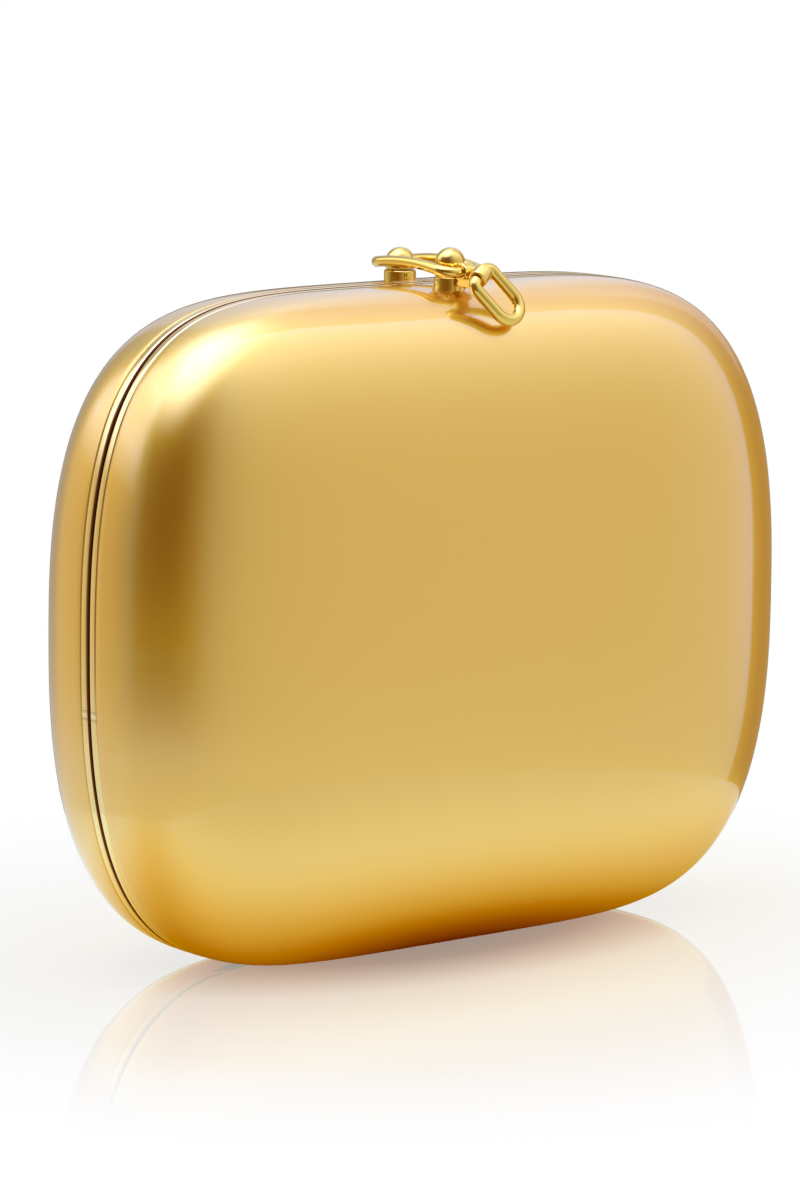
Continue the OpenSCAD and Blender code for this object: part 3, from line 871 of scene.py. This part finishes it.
class BAG_OT_shells(PieceOperator, bpy.types.Operator):
    """Models the two pillowed metal shells"""
    bl_idname = "bag.shells"
    bl_label = "Shells"

    EDGE_ROUNDING = 0.22 * MM

    def execute(self, context):
        scene = self.start(context)
        form, rims = scene.bag_form, scene.bag_rims
        edge = rims.seam_gap / 2 + rims.width + rims.reveal
        self.halves(lambda: skin_wall(self.pillow, 0.0, form.wall, edge, form.face_steps,
                                      form.outline_steps, self.EDGE_ROUNDING),
                    "pillow_shell", "shell", "shell")
        return self.done()


class BAG_OT_frames(PieceOperator, bpy.types.Operator):
    """Models the polished rims with their flanges, and the closing lip"""
    bl_idname = "bag.frames"
    bl_label = "Frames"

    ROUND_STEPS = 7
    # The notch for the hinge, and the longer relief where the rims lie under its axis
    NOTCH_HALF, NOTCH_TOP = 42.3 * MM, 4.4 * MM
    RELIEF_HALF, RELIEF_TOP, RELIEF_DEPTH = 54.0 * MM, 1.9 * MM, 1.7 * MM
    # How far a cutter passes what it cuts, and how far the lip is let into its frame
    OVERRUN = 1.0 * MM
    LIP_SINK = 0.1 * MM

    def ring(self, scene):
        """One frame over the rear half."""
        rims = scene.bag_rims
        near, wide, r = rims.seam_gap / 2, rims.inner_rounding, rims.rounding
        far = near + rims.width
        first = arc(wide, near + wide, wide, 270, 180, self.ROUND_STEPS)
        second = arc(r, far - r, r, 180, 90, self.ROUND_STEPS)
        profile = [(rims.thickness, near), *first, *second, (rims.flange_inset, far),
                   (rims.flange_inset, rims.flange_reach), (rims.thickness, rims.flange_reach)]
        piece = profile_ring(self.pillow, profile, scene.bag_form.outline_steps)
        for half, high_y, low_z, high_z in (
                (self.NOTCH_HALF, far + rims.reveal, -self.OVERRUN, self.NOTCH_TOP),
                (self.NOTCH_HALF, rims.flange_reach + self.OVERRUN, rims.thickness, self.NOTCH_TOP),
                (self.RELIEF_HALF, self.RELIEF_DEPTH, -self.OVERRUN, self.RELIEF_TOP)):
            cutter = block((-half, -self.OVERRUN, low_z), (half, high_y, high_z))
            combine(piece, cutter, "DIFFERENCE")
        return piece

    def lip(self, scene):
        """The lip inside the rear frame, which closes the seam from the inside."""
        rims = scene.bag_rims
        outer, inner = rims.lip_inset, rims.lip_inset + rims.lip_thickness
        root, far = rims.seam_gap / 2 + rims.width / 2, rims.seam_gap / 2 + rims.width
        sunk = rims.thickness - self.LIP_SINK
        profile = [(outer, root), (outer, -rims.lip_reach), (inner, -rims.lip_reach),
                   (inner, far), (sunk, far), (sunk, root)]
        piece = profile_ring(self.pillow, profile, scene.bag_form.outline_steps)
        size = scene.bag_form.half_width + self.OVERRUN
        cutter = block((-size, -size, -self.OVERRUN), (size, size, rims.lip_start))
        return combine(piece, cutter, "DIFFERENCE")

    def execute(self, context):
        scene = self.start(context)
        rear = combine(self.ring(scene), self.lip(scene), "UNION")
        front = turn_over(self.ring(scene))
        for half, piece in (("rear", rear), ("front", front)):
            self.deliver(piece, half + "_rim", half + "_half", "rim", half + "_frame")
        return self.done()


class BAG_OT_linings(PieceOperator, bpy.types.Operator):
    """Models the leather linings that cover the inside of the shells"""
    bl_idname = "bag.linings"
    bl_label = "Linings"

    def execute(self, context):
        lining = self.start(context).bag_lining
        self.halves(lambda: skin_wall(self.pillow, lining.outer, lining.inner, lining.edge,
                                      lining.rows, lining.steps),
                    "leather_lining", "leather", "lining")
        return self.done()


class BAG_OT_bindings(PieceOperator, bpy.types.Operator):
    """Models the piped edges of the linings and their stitches"""
    bl_idname = "bag.bindings"
    bl_label = "Bound edges"

    PIPING_STEPS = 6
    # The steps that measure one stitch's way, and how far thread sinks in, by its radius
    LINE_STEPS = 40
    SINK = 0.3

    def piping(self, scene):
        """The bound edge, flat between two round sides."""
        lining = scene.bag_lining
        r = lining.binding_thickness / 2
        middle, far = lining.binding_inset + r, lining.edge + lining.binding_width - r
        profile = (arc(middle, lining.edge + r, r, 360, 180, self.PIPING_STEPS)
                   + arc(middle, far, r, 180, 0, self.PIPING_STEPS))
        return profile_ring(self.pillow, profile, lining.steps)

    def seam(self, scene):
        """Stitches along the middle of the piping, on the side of the seam."""
        lining = scene.bag_lining
        inset = lining.binding_inset + lining.binding_thickness / 2
        wide, high = self.pillow.w - inset, self.pillow.h - inset
        steps = self.LINE_STEPS * lining.stitches
        line = []
        for i in range(steps):
            x, z = self.pillow.corner(FULL_TURN * i / steps)
            line.append(Vector((wide * x, 0, max(inset, self.pillow.middle + high * z))))
        spans = list(zip(line, line[1:] + line[:1]))
        pitch = sum((b - a).length for a, b in spans) / lining.stitches
        places, gone, wanted = [], 0.0, 0.0
        y = lining.edge + self.SINK * lining.stitch_radius
        for a, b in spans:
            gone += (b - a).length
            if gone >= wanted and len(places) < lining.stitches:
                wanted += pitch
                along = (b - a).normalized()
                places.append(Matrix.Translation((b.x, y, b.z))
                              @ Matrix.Rotation(-math.atan2(along.z, along.x), 4, "Y"))
        return sew(lining, places)

    def execute(self, context):
        scene = self.start(context)
        self.halves(lambda: self.piping(scene), "piping", "binding", "binding")
        self.halves(lambda: self.seam(scene), "piping_stitches", "thread", slot="binding_leather")
        return self.done()


class BAG_OT_pocket(PieceOperator, bpy.types.Operator):
    """Models the slip pocket on the rear lining, with its hem and stitches"""
    bl_idname = "bag.pocket"
    bl_label = "Slip pocket"

    COLUMNS = 46
    ROWS, HEM_ROWS = 28, 6
    HEM = 5.0 * MM
    HEM_PROUD = 0.45 * MM
    EDGE, EDGE_STEPS, EDGE_LIMIT = 0.25 * MM, 3, 50
    # How far the panel's back lies inside the form, and the seam inside the panel's edge
    BACK = 2.4 * MM
    SEAM_INSET = 2.4 * MM
    STITCH_PITCH = 3.0 * MM

    def panel(self, width, low, high, back, thickness, rows):
        """A panel that follows the lining."""
        clear_selection()
        bpy.ops.mesh.primitive_grid_add(x_subdivisions=self.COLUMNS, y_subdivisions=rows, size=1,
                                        rotation=(QUARTER_TURN, 0, 0))
        settle()
        piece = bpy.context.object
        for point in piece.data.vertices:
            x, z = point.co.x * width, low + (point.co.z + 0.5) * (high - low)
            point.co = (x, self.pillow.skin(x, z, back), z)
        edit(piece)
        bpy.ops.mesh.normals_make_consistent()
        leave_edit()
        if piece.data.polygons[0].normal.y > 0:
            edit(piece)
            bpy.ops.mesh.flip_normals()
            leave_edit()
        wall = piece.modifiers.new("wall", "SOLIDIFY")
        wall.thickness = thickness
        wall.offset = 1.0
        apply_all(piece)
        return bevel(piece, self.EDGE, self.EDGE_STEPS, self.EDGE_LIMIT)

    def execute(self, context):
        lining = self.start(context).bag_lining
        low, high = lining.pocket_foot, lining.pocket_foot + lining.pocket_height
        width, thick = lining.pocket_width, lining.pocket_thickness
        panel = self.panel(width, low, high, self.BACK, thick, self.ROWS)
        hem = self.panel(width, high - self.HEM, high, self.BACK + thick / 2,
                         thick / 2 + self.HEM_PROUD, self.HEM_ROWS)
        pocket = self.deliver(join([panel, hem]), "slip_pocket_panel", "rear_half", "leather",
                              "slip_pocket")
        half, bottom = width / 2 - self.SEAM_INSET, low + self.SEAM_INSET
        hem_foot = high - self.HEM
        hem_line = hem_foot + self.SEAM_INSET / 2
        runs = [((-half, hem_foot), (-half, bottom)), ((-half, bottom), (half, bottom)),
                ((half, bottom), (half, hem_foot)), ((-half, hem_line), (half, hem_line))]
        thread = self.deliver(self.stitches(lining, runs), "slip_pocket_stitches", "rear_half",
                              "thread", slot="lining_leather")
        return self.done()

    def stitches(self, lining, runs):
        """Stitches along straight runs on the panel's face, the last of them on the hem."""
        skin = self.pillow.skin
        places = []
        for run, (start, end) in enumerate(runs):
            span = math.dist(start, end)
            number = round(span / self.STITCH_PITCH)
            turn = math.atan2(end[1] - start[1], end[0] - start[0])
            proud = lining.pocket_thickness + (self.HEM_PROUD if run == len(runs) - 1 else 0)
            for i in range(number):
                t = (i + 0.5) / number
                x, z = start[0] + (end[0] - start[0]) * t, start[1] + (end[1] - start[1]) * t
                slope = skin(x + MM, z, self.BACK) - skin(x - MM, z, self.BACK)
                lean = math.atan2(slope, 2 * MM) if start[1] == end[1] else 0.0
                places.append(Matrix.Translation((x, skin(x, z, self.BACK + proud), z))
                              @ Matrix.Rotation(lean, 4, "Z") @ Matrix.Rotation(-turn, 4, "Y"))
        return sew(lining, places)


class BAG_OT_hinge(PieceOperator, bpy.types.Operator):
    """Gives the hinge leaves, the rivets and both pins their metal"""
    bl_idname = "bag.hinge"
    bl_label = "Hinge"

    def execute(self, context):
        self.start(context)
        for name, finish in (
                ("rear_hinge_leaf", "brass"), ("front_hinge_leaf", "brass"),
                ("rear_rivets", "brass"), ("front_rivets", "brass"),
                ("hinge_pin", "steel"), ("cap_pin", "polished")):
            self.paint(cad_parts[name], finish)
        return self.done()


class BAG_OT_posts(PieceOperator, bpy.types.Operator):
    """Models the two posts and the domed cap that rides on the link"""
    bl_idname = "bag.posts"
    bl_label = "Posts and cap"

    SIDES = 64
    # A foot: its rounded edge, how far its seat sinks in, and the share of it that is seat
    BEVEL, BEVEL_START, BEVEL_STEPS = 0.35 * MM, 15, 6
    SINK, SEAT_SHARE = 0.05 * MM, 0.3
    # A head: its dome in degrees, the small disc at its top, its neck and the fillet under it
    DOME_STEPS, DOME_END = 16, 89.6
    POLE = 0.02 * MM
    NECK_STEP, NECK_END = 0.12 * MM, 0.5 * MM
    FILLET, FILLET_STEPS = 0.25 * MM, 3
    # The cap's lower edge, rounded from an angle in degrees
    LIP_INSET, LIP_START, LIP_STEPS = 0.3 * MM, 285, 4

    def foot(self, clasp, top, y, above=()):
        """A foot cut to the shell, with what stands on it."""
        r, low, round_off = clasp.foot_radius, top - clasp.foot_height, self.BEVEL
        profile = [(r, low), (r, top - round_off),
                   *arc(r - round_off, top - round_off, round_off, self.BEVEL_START, 90,
                        self.BEVEL_STEPS)]
        piece = turned(profile + list(above or [(self.POLE, top)]), (0, y, 0), self.SIDES)
        rim = low + (top - low) * self.SEAT_SHARE
        for point in piece.data.vertices:
            if point.co.z < rim:
                point.co.z = self.pillow.crest(point.co.x, point.co.y) - self.SINK
        return piece

    def dome(self, head, radius):
        """The profile of a domed head."""
        return arc(0, head, radius, 0, self.DOME_END, self.DOME_STEPS)

    def execute(self, context):
        scene = self.start(context)
        clasp, crest = scene.bag_clasp, scene.bag_form.top
        top, r, q = crest + clasp.foot_height, clasp.head_radius, self.FILLET
        stud = self.foot(clasp, top, clasp.post_offset)
        self.deliver(stud, "rear_post_foot", "rear_half", "polished", "rear_stud")

        head, neck = crest + clasp.front_height - r, r - self.NECK_STEP
        above = [(neck + q, top), *arc(neck + q, top + q, q, 270, 180, self.FILLET_STEPS),
                 (neck, head - self.NECK_END), *self.dome(head, r)]
        post = self.foot(clasp, top, -clasp.post_offset, above)
        self.deliver(post, "front_domed_post", "front_half", "polished", "front_post")

        head, low = crest + clasp.cap_height - r, top + clasp.cap_gap
        cap = turned([(self.POLE, low), (r - self.LIP_INSET, low),
                      *arc(r - q, low + q, q, self.LIP_START, 360, self.LIP_STEPS),
                      *self.dome(head, r)], (0, clasp.post_offset, 0), self.SIDES)
        self.deliver(cap, "rear_domed_cap", "link", "polished", "rear_cap")
        return self.done()


class BAG_OT_link(PieceOperator, bpy.types.Operator):
    """Models the long wire link round both posts"""
    bl_idname = "bag.link"
    bl_label = "Link"

    SECTION = 32
    BEND_STEPS = 28
    CORNER_STEPS = 12
    ROD_STEPS = 12

    def execute(self, context):
        scene = self.start(context)
        clasp = scene.bag_clasp
        link = Link(clasp, scene.bag_form.top)
        half = clasp.link_half_width
        bar_half = half - clasp.link_corner
        rear = Vector((0, link.rear, link.height(link.rear)))
        front = Vector((0, link.corner, link.height(link.corner)))
        bow_centre = (0, 0, link.top - link.bow)
        bow_turn = link.turn(link.rear) - link.turn(link.corner)
        upright, corner_bar = link.upright(link.corner), Vector((bar_half, 0, 0))
        piece = add_circle(self.SECTION, clasp.wire, rear + Vector((half, 0, 0)),
                           (QUARTER_TURN - link.turn(link.rear), 0, 0))
        edit(piece)
        bend_wire(HALF_TURN, rear, self.BEND_STEPS, link.upright(link.rear))
        bend_wire(bow_turn, bow_centre, self.ROD_STEPS, (1, 0, 0))
        bend_wire(QUARTER_TURN, front - corner_bar, self.CORNER_STEPS, upright)
        grow((2 * bar_half, 0, 0))
        bend_wire(QUARTER_TURN, front + corner_bar, self.CORNER_STEPS, upright)
        bend_wire(bow_turn, bow_centre, self.ROD_STEPS, (-1, 0, 0))
        leave_edit()
        self.deliver(tidy_mesh(piece), "wire_link", "link", "polished", "clasp_link")
        return self.done()


class BAG_OT_knuckle(PieceOperator, bpy.types.Operator):
    """Models the knuckle that joins link and ring to the front post"""
    bl_idname = "bag.knuckle"
    bl_label = "Knuckle"

    SIDES = 48
    ROUND, ROUND_STEPS = 0.3 * MM, 5
    ARM_BEVEL, ARM_BEVEL_STEPS = 0.3 * MM, 4
    # How near the post's axis the arm ends, by the radius of the foot
    ARM_END = 0.9

    def eye(self, clasp, long, bore, frame_at):
        """A bored barrel that lies along the width of its frame."""
        r, q, half = clasp.eye_radius, self.ROUND, long / 2
        profile = [(bore, -half), *arc(r - q, -half + q, q, 270, 360, self.ROUND_STEPS),
                   *arc(r - q, half - q, q, 0, 90, self.ROUND_STEPS), (bore, half), (bore, -half)]
        barrel = turned(profile, (0, 0, 0), self.SIDES, shut=False)
        return place(barrel, frame_at @ Matrix.Rotation(QUARTER_TURN, 4, "Y"))

    def execute(self, context):
        scene = self.start(context)
        clasp = scene.bag_clasp
        link = Link(clasp, scene.bag_form.top)
        bar = Matrix.Translation((0, link.bar_y, link.bar_z))
        ring = ring_frame(clasp, link)
        piece = self.eye(clasp, clasp.link_eye, clasp.link_bore, bar)
        combine(piece, self.eye(clasp, clasp.ring_eye, clasp.ring_bore, ring), "UNION")
        half, low = clasp.arm_width / 2, link.bar_z - clasp.eye_radius - clasp.arm_height / 2
        front = link.bar_y + clasp.eye_radius / 2 - clasp.ring_forward
        rear = -clasp.post_offset - clasp.foot_radius * self.ARM_END
        arm = block((-half, front, low), (half, rear, low + clasp.arm_height))
        combine(piece, bevel(arm, self.ARM_BEVEL, self.ARM_BEVEL_STEPS), "UNION")
        for place_at, bore in ((bar, clasp.link_bore), (ring, clasp.ring_bore)):
            clear_selection()
            bpy.ops.mesh.primitive_cylinder_add(vertices=self.SIDES, radius=bore,
                                                depth=2 * clasp.link_eye)
            cutter = place(bpy.context.object, place_at @ Matrix.Rotation(QUARTER_TURN, 4, "Y"))
            combine(piece, cutter, "DIFFERENCE")
        self.deliver(piece, "clasp_knuckle_piece", "front_half", "polished", "clasp_knuckle")
        return self.done()


class BAG_OT_ring(PieceOperator, bpy.types.Operator):
    """Models the pull ring that hangs in the knuckle"""
    bl_idname = "bag.ring"
    bl_label = "Pull ring"

    SECTION = 36
    BEND_STEPS = 32
    CORNER_STEPS = 12

    def execute(self, context):
        scene = self.start(context)
        clasp = scene.bag_clasp
        r, half = clasp.ring_corner, clasp.ring_half_width
        bar_half, limb = half - r, clasp.ring_length - half - r
        piece = add_circle(self.SECTION, clasp.ring_wire, (-bar_half, 0, 0), (0, QUARTER_TURN, 0))
        edit(piece)
        bend_wire(QUARTER_TURN, (-bar_half, -r, 0), self.CORNER_STEPS)
        grow((0, -limb, 0))
        bend_wire(HALF_TURN, (0, -r - limb, 0), self.BEND_STEPS)
        grow((0, limb, 0))
        bend_wire(QUARTER_TURN, (bar_half, -r, 0), self.CORNER_STEPS)
        grow((-2 * bar_half, 0, 0))
        leave_edit()
        tidy_mesh(piece)
        place(piece, ring_frame(clasp, Link(clasp, scene.bag_form.top))
              @ Matrix.Rotation(clasp.ring_droop, 4, "X"))
        self.deliver(piece, "pull_ring_loop", "ring", "polished", "pull_ring")
        return self.done()


# STAGE

# The photograph's camera, its picture's size and the body's middle in it, in pixels
CAMERA_AZIMUTH = math.radians(-38.44)
CAMERA_ELEVATION = math.radians(9.23)
CAMERA_ROLL = math.radians(0.594)
CAMERA_DISTANCE = 1.03386
CAMERA_LENS = 157.47
SENSOR = 36.0
PICTURE = (800, 1200)
BODY_MIDDLE = (421.23, 611.16)
CLIP_START = 0.05


class BAG_OT_stage(bpy.types.Operator):
    """Makes the floor, the backdrop with its lights, and the camera"""
    bl_idname = "bag.stage"
    bl_label = "Stage"

    # The table: its size, its tones, and how far from the bag each part of it shows
    TABLE, TABLE_SIDES = 0.22, 128
    TABLE_MIDDLE = (-0.05, 0.02, 0.0)
    # TABLE_NEAR is warmer than TABLE_FAR, and WARM_WHITE warms the clear table near the bag:
    # painted warm bounce light from the gold. WARM_WHITE also tints the mirror.
    TABLE_NEAR, TABLE_FAR = (0.95, 0.86, 0.62, 1), (0.95, 0.91, 0.78, 1)
    RIM_FADE, NEAR_EDGE = (0.11, 0.17), (0.08, 0.20)
    CLEAR_SHARE = 0.86
    WARM_WHITE = (1.0, 0.96, 0.82, 1)
    MIRROR, MIRROR_FADE, MIRROR_ROUGHNESS = 0.32, (0.03, 0.17), 0.04
    CONTACT, CONTACT_FADE = 0.34, (0.020, 0.040)
    # How a distance from the bag is counted: along the width it counts for less
    ROUND, LONG, LONGER, LONGEST = (1, 1, 1), (0.6, 1, 1), (0.5, 1, 1), (0.35, 1, 1)
    # What polished metal sees of the table, by the distance in millimetres: painted light, a
    # painted shadow with warm bounce light under the bag and a painted bright pool around it
    GLOSS_EDGE, GLOSS_REACH = 0.13, 0.20
    GLOSS = ((12, (0.14, 0.02, 0.0)), (17, (0.32, 0.10, 0.0)), (22, (0.54, 0.28, 0.0)),
             (27, (0.72, 0.54, 0.12)), (35, (0.86, 0.77, 0.48)), (45, (0.93, 0.97, 0.88)),
             (60, (0.95, 1.09, 1.25)), (95, (0.83, 0.93, 1.05)), (140, (0.78, 0.82, 0.92)))
    # The room's walls, by degrees round it: 0 in front, 90 at the right
    ROOM_LEVEL = 1.3
    ROOM = ((-180, 0.42), (-172, 0.46), (-163, (0.74, 0.66, 0.48)), (-150, (0.76, 0.67, 0.46)),
            (-139, (0.62, 0.52, 0.36)), (-118, 0.36), (-105, (0.26, 0.17, 0.07)),
            (-78, (0.22, 0.12, 0.03)), (-50, (0.23, 0.12, 0.03)), (-30, (0.33, 0.24, 0.12)),
            (-8, 0.52), (12, 0.66), (40, 0.73), (58, (0.78, 0.80, 0.95)),
            (75, (0.88, 0.96, 1.5)), (76.5, (0.50, 0.34, 0.12)), (122, (0.50, 0.34, 0.12)),
            (136, 0.66), (152, 0.46), (180, 0.42))
    LOW_ROOM, LOW_FADE, DARK_SCREEN = (0.79, 0.84, 0.90), (9, 18), (76, 128, 1)
    # A dark gap low at the rear: its direction, its edge and core, its share and tone
    REAR_GAP, REAR_GAP_EDGE = (0.615, 0.776, -0.12), (0.945, 0.988)
    REAR_GAP_SHARE, REAR_GAP_TONE = 0.9, (0.05, 0.035, 0.01, 1)
    # Soft lights: direction, edge, core, power, strength. Boxes: left, right, low, high, soft
    LIGHT_TONE = (0.68, 0.90, 1.75, 1)
    OVERHEAD = (((-0.30, 0.17, 0.94), 0.72, 0.98, 1.6, 2.8),
                ((0.25, -0.10, 0.96), 0.25, 1.0, 2.0, 1.0))
    LEFT_BOX, LEFT_LIGHT = (-170, -118, 8, 46, 10), 0.95
    REAR_BOX, REAR_LIGHT = (99, 165, 4, 49, 4), 0.25

    def floor(self):
        """A round glass table: it shows shadow and gloss, and what opens below its top."""
        clear_selection()
        bpy.ops.mesh.primitive_circle_add(vertices=self.TABLE_SIDES, radius=self.TABLE,
                                          fill_type="NGON", location=self.TABLE_MIDDLE)
        settle()
        floor = bpy.context.object
        floor.name = "floor"
        material, paint, spot = new_material("white_gloss_floor")
        path = paint.node("ShaderNodeLightPath")
        seen = path["Is Camera Ray"]
        away = self.reach(paint, spot, self.LONG)
        far = paint.fade(away, *self.NEAR_EDGE)
        inside = 1 - paint.fade(self.reach(paint, spot, self.ROUND), *self.RIM_FADE)
        near = inside * (1 - paint.fade(away, *self.MIRROR_FADE))
        # Painted warm bounce light: the table's colour and its clear share turn warmer near the
        # bag.
        diffuse = paint.node("ShaderNodeBsdfDiffuse", None,
                             {"Color": paint.mix(far, self.TABLE_NEAR, self.TABLE_FAR)})["BSDF"]
        clear = paint.clear(paint.mix(near * near, WHITE, self.WARM_WHITE))
        shown = seen * (1 - inside * (1 - self.CLEAR_SHARE) * (1 - far))
        # Glossy rays see the painted shadow and painted pool of gloss() instead of the lit table.
        lit = paint.blend(path["Is Glossy Ray"], paint.blend(shown, diffuse, clear),
                          self.gloss(paint, spot))
        mirror = paint.node("ShaderNodeBsdfGlossy", None, {
            "Color": self.WARM_WHITE, "Roughness": self.MIRROR_ROUGHNESS})["BSDF"]
        under = paint.fade(self.reach(paint, spot, self.LONGER), *self.CONTACT_FADE)
        contact = self.CONTACT * (1 - under)
        top = paint.blend((near * self.MIRROR + contact) * seen, lit, mirror)
        below = paint.node("ShaderNodeNewGeometry")["Backfacing"]
        paint.finish(paint.blend(below, top, paint.clear()))
        floor.data.materials.append(material)

    def reach(self, paint, spot, stretch):
        """How far a place on the floor is from the bag's middle."""
        return paint.node("ShaderNodeVectorMath", {"operation": "LENGTH"},
                          {0: paint.stretch(spot, stretch)})["Value"]

    def gloss(self, paint, spot):
        """What polished metal sees of the table, as emission: a painted shadow with warm bounce
        light under the bag and a painted bright pool around it.
        """
        stops = [(away * MM / self.GLOSS_REACH, tone) for away, tone in self.GLOSS]
        tone = paint.node("ShaderNodeValToRGB", {"stops": stops},
                          {0: self.reach(paint, spot, self.LONGEST) / self.GLOSS_REACH})["Color"]
        table = paint.light("ShaderNodeEmission", tone)
        beyond = paint.fade(self.reach(paint, spot, self.ROUND),
                            self.GLOSS_EDGE, self.GLOSS_EDGE + MM)
        return paint.blend(beyond, table, paint.clear())

    def box_light(self, paint, turn, height, box):
        """A soft box in the room, by its turn and its height in degrees."""
        left, right, low, high, soft = box
        return paint.window(turn, left, right, soft) * paint.window(height, low, high, soft)

    def glow(self, paint, towards, middle, edge, core, power, strength):
        """A big soft light about a direction."""
        near = paint.node("ShaderNodeVectorMath", {"operation": "DOT_PRODUCT"},
                          {0: towards, 1: middle})["Value"]
        return strength * paint.fade(near, edge, core) ** power

    def world(self, scene):
        """A white studio: soft lights overhead, boxes at the left and the rear, a dim left side."""
        world = bpy.data.worlds.new("white_studio")
        scene.world = world
        world.use_nodes = True
        paint = Paint(world.node_tree)
        towards = paint.node("ShaderNodeTexCoord")["Generated"]
        axes = paint.split(towards)
        turn = paint.node("ShaderNodeMath", {"operation": "ARCTAN2"},
                          {0: axes["X"], 1: axes["Y"] * -1.0})[0] * math.degrees(1)
        height = paint.node("ShaderNodeMath", {"operation": "ARCSINE"},
                            {0: axes["Z"]})[0] * math.degrees(1)
        stops = [(0.5 + degrees / 360,
                  Vector(tone if isinstance(tone, tuple) else [tone] * 3) / self.ROOM_LEVEL)
                 for degrees, tone in self.ROOM]
        room = paint.node("ShaderNodeValToRGB", {"stops": stops}, {0: 0.5 + turn / 360.0})["Color"]
        boxes = (sum(self.glow(paint, towards, *glow) for glow in self.OVERHEAD)
                 + self.LEFT_LIGHT * self.box_light(paint, turn, height, self.LEFT_BOX)
                 + self.REAR_LIGHT * self.box_light(paint, turn, height, self.REAR_BOX))
        low = (paint.fade(height * -1.0, *self.LOW_FADE)
               * (1 - paint.window(turn, *self.DARK_SCREEN)))
        room = paint.mix(low, room, rgba(self.LOW_ROOM, 1 / self.ROOM_LEVEL))
        gap = self.glow(paint, towards, self.REAR_GAP, *self.REAR_GAP_EDGE, 1.0,
                        self.REAR_GAP_SHARE)
        room = paint.mix(gap, room, self.REAR_GAP_TONE)
        studio = paint.node("ShaderNodeAddShader", None, {
            0: paint.light("ShaderNodeBackground", room, self.ROOM_LEVEL),
            1: paint.light("ShaderNodeBackground", self.LIGHT_TONE, boxes * (1 - gap))})[0]
        seen = paint.node("ShaderNodeLightPath")["Is Camera Ray"]
        paint.node("ShaderNodeOutputWorld", None, {
            "Surface": paint.blend(seen, studio, paint.light("ShaderNodeBackground", WHITE))})

    def camera(self, scene, middle):
        """The photograph's view: the body's middle lies a little off the picture's middle."""
        clear_selection()
        bpy.ops.object.camera_add()
        camera = bpy.context.object
        turn = (Matrix.Rotation(CAMERA_AZIMUTH, 3, "Z")
                @ Matrix.Rotation(QUARTER_TURN - CAMERA_ELEVATION, 3, "X"))
        per_pixel = CAMERA_DISTANCE * SENSOR / CAMERA_LENS / PICTURE[1]
        aside = Vector(((PICTURE[0] / 2 - BODY_MIDDLE[0]) * per_pixel,
                        (BODY_MIDDLE[1] - PICTURE[1] / 2) * per_pixel, CAMERA_DISTANCE))
        camera.location = Vector((0, 0, middle)) + turn @ aside
        camera.rotation_euler = (turn @ Matrix.Rotation(CAMERA_ROLL, 3, "Z")).to_euler()
        camera.data.sensor_width = SENSOR
        camera.data.lens = CAMERA_LENS
        camera.data.clip_start = CLIP_START
        scene.camera = camera

    def execute(self, context):
        scene = context.scene
        scene.view_settings.view_transform = "Standard"
        middle = Pillow(scene.bag_form).middle
        self.floor()
        self.world(scene)
        self.camera(scene, middle)
        clear_selection()
        return {"FINISHED"}


class BAG_PT_panel(bpy.types.Panel):
    """Lists the pieces of the bag and their sizes"""
    bl_idname = "BAG_PT_panel"
    bl_label = "Hard Clutch Bag"
    bl_space_type = "VIEW_3D"
    bl_region_type = "UI"
    bl_category = "Clutch Bag"

    def draw(self, context):
        for operator in OPERATORS:
            self.layout.operator(operator.bl_idname)
        for name, group in SETTINGS.items():
            box = self.layout.box()
            box.label(text=group.__doc__)
            for key in group.__annotations__:
                box.prop(getattr(context.scene, name), key)


OPERATORS = (BAG_OT_shells, BAG_OT_frames, BAG_OT_linings, BAG_OT_bindings, BAG_OT_pocket,
             BAG_OT_hinge, BAG_OT_posts, BAG_OT_link, BAG_OT_knuckle, BAG_OT_ring, BAG_OT_stage)
CLASSES = (*SETTINGS.values(), *OPERATORS, BAG_PT_panel)


def register():
    for cls in CLASSES:
        bpy.utils.register_class(cls)
    for name, group in SETTINGS.items():
        setattr(bpy.types.Scene, name, PointerProperty(type=group))


def unregister():
    for name in SETTINGS:
        delattr(bpy.types.Scene, name)
    for cls in reversed(CLASSES):
        bpy.utils.unregister_class(cls)


def main():
    register()
    for operator in OPERATORS:
        group, name = operator.bl_idname.split(".")
        getattr(getattr(bpy.ops, group), name)()


if __name__ == "__main__":
    main()
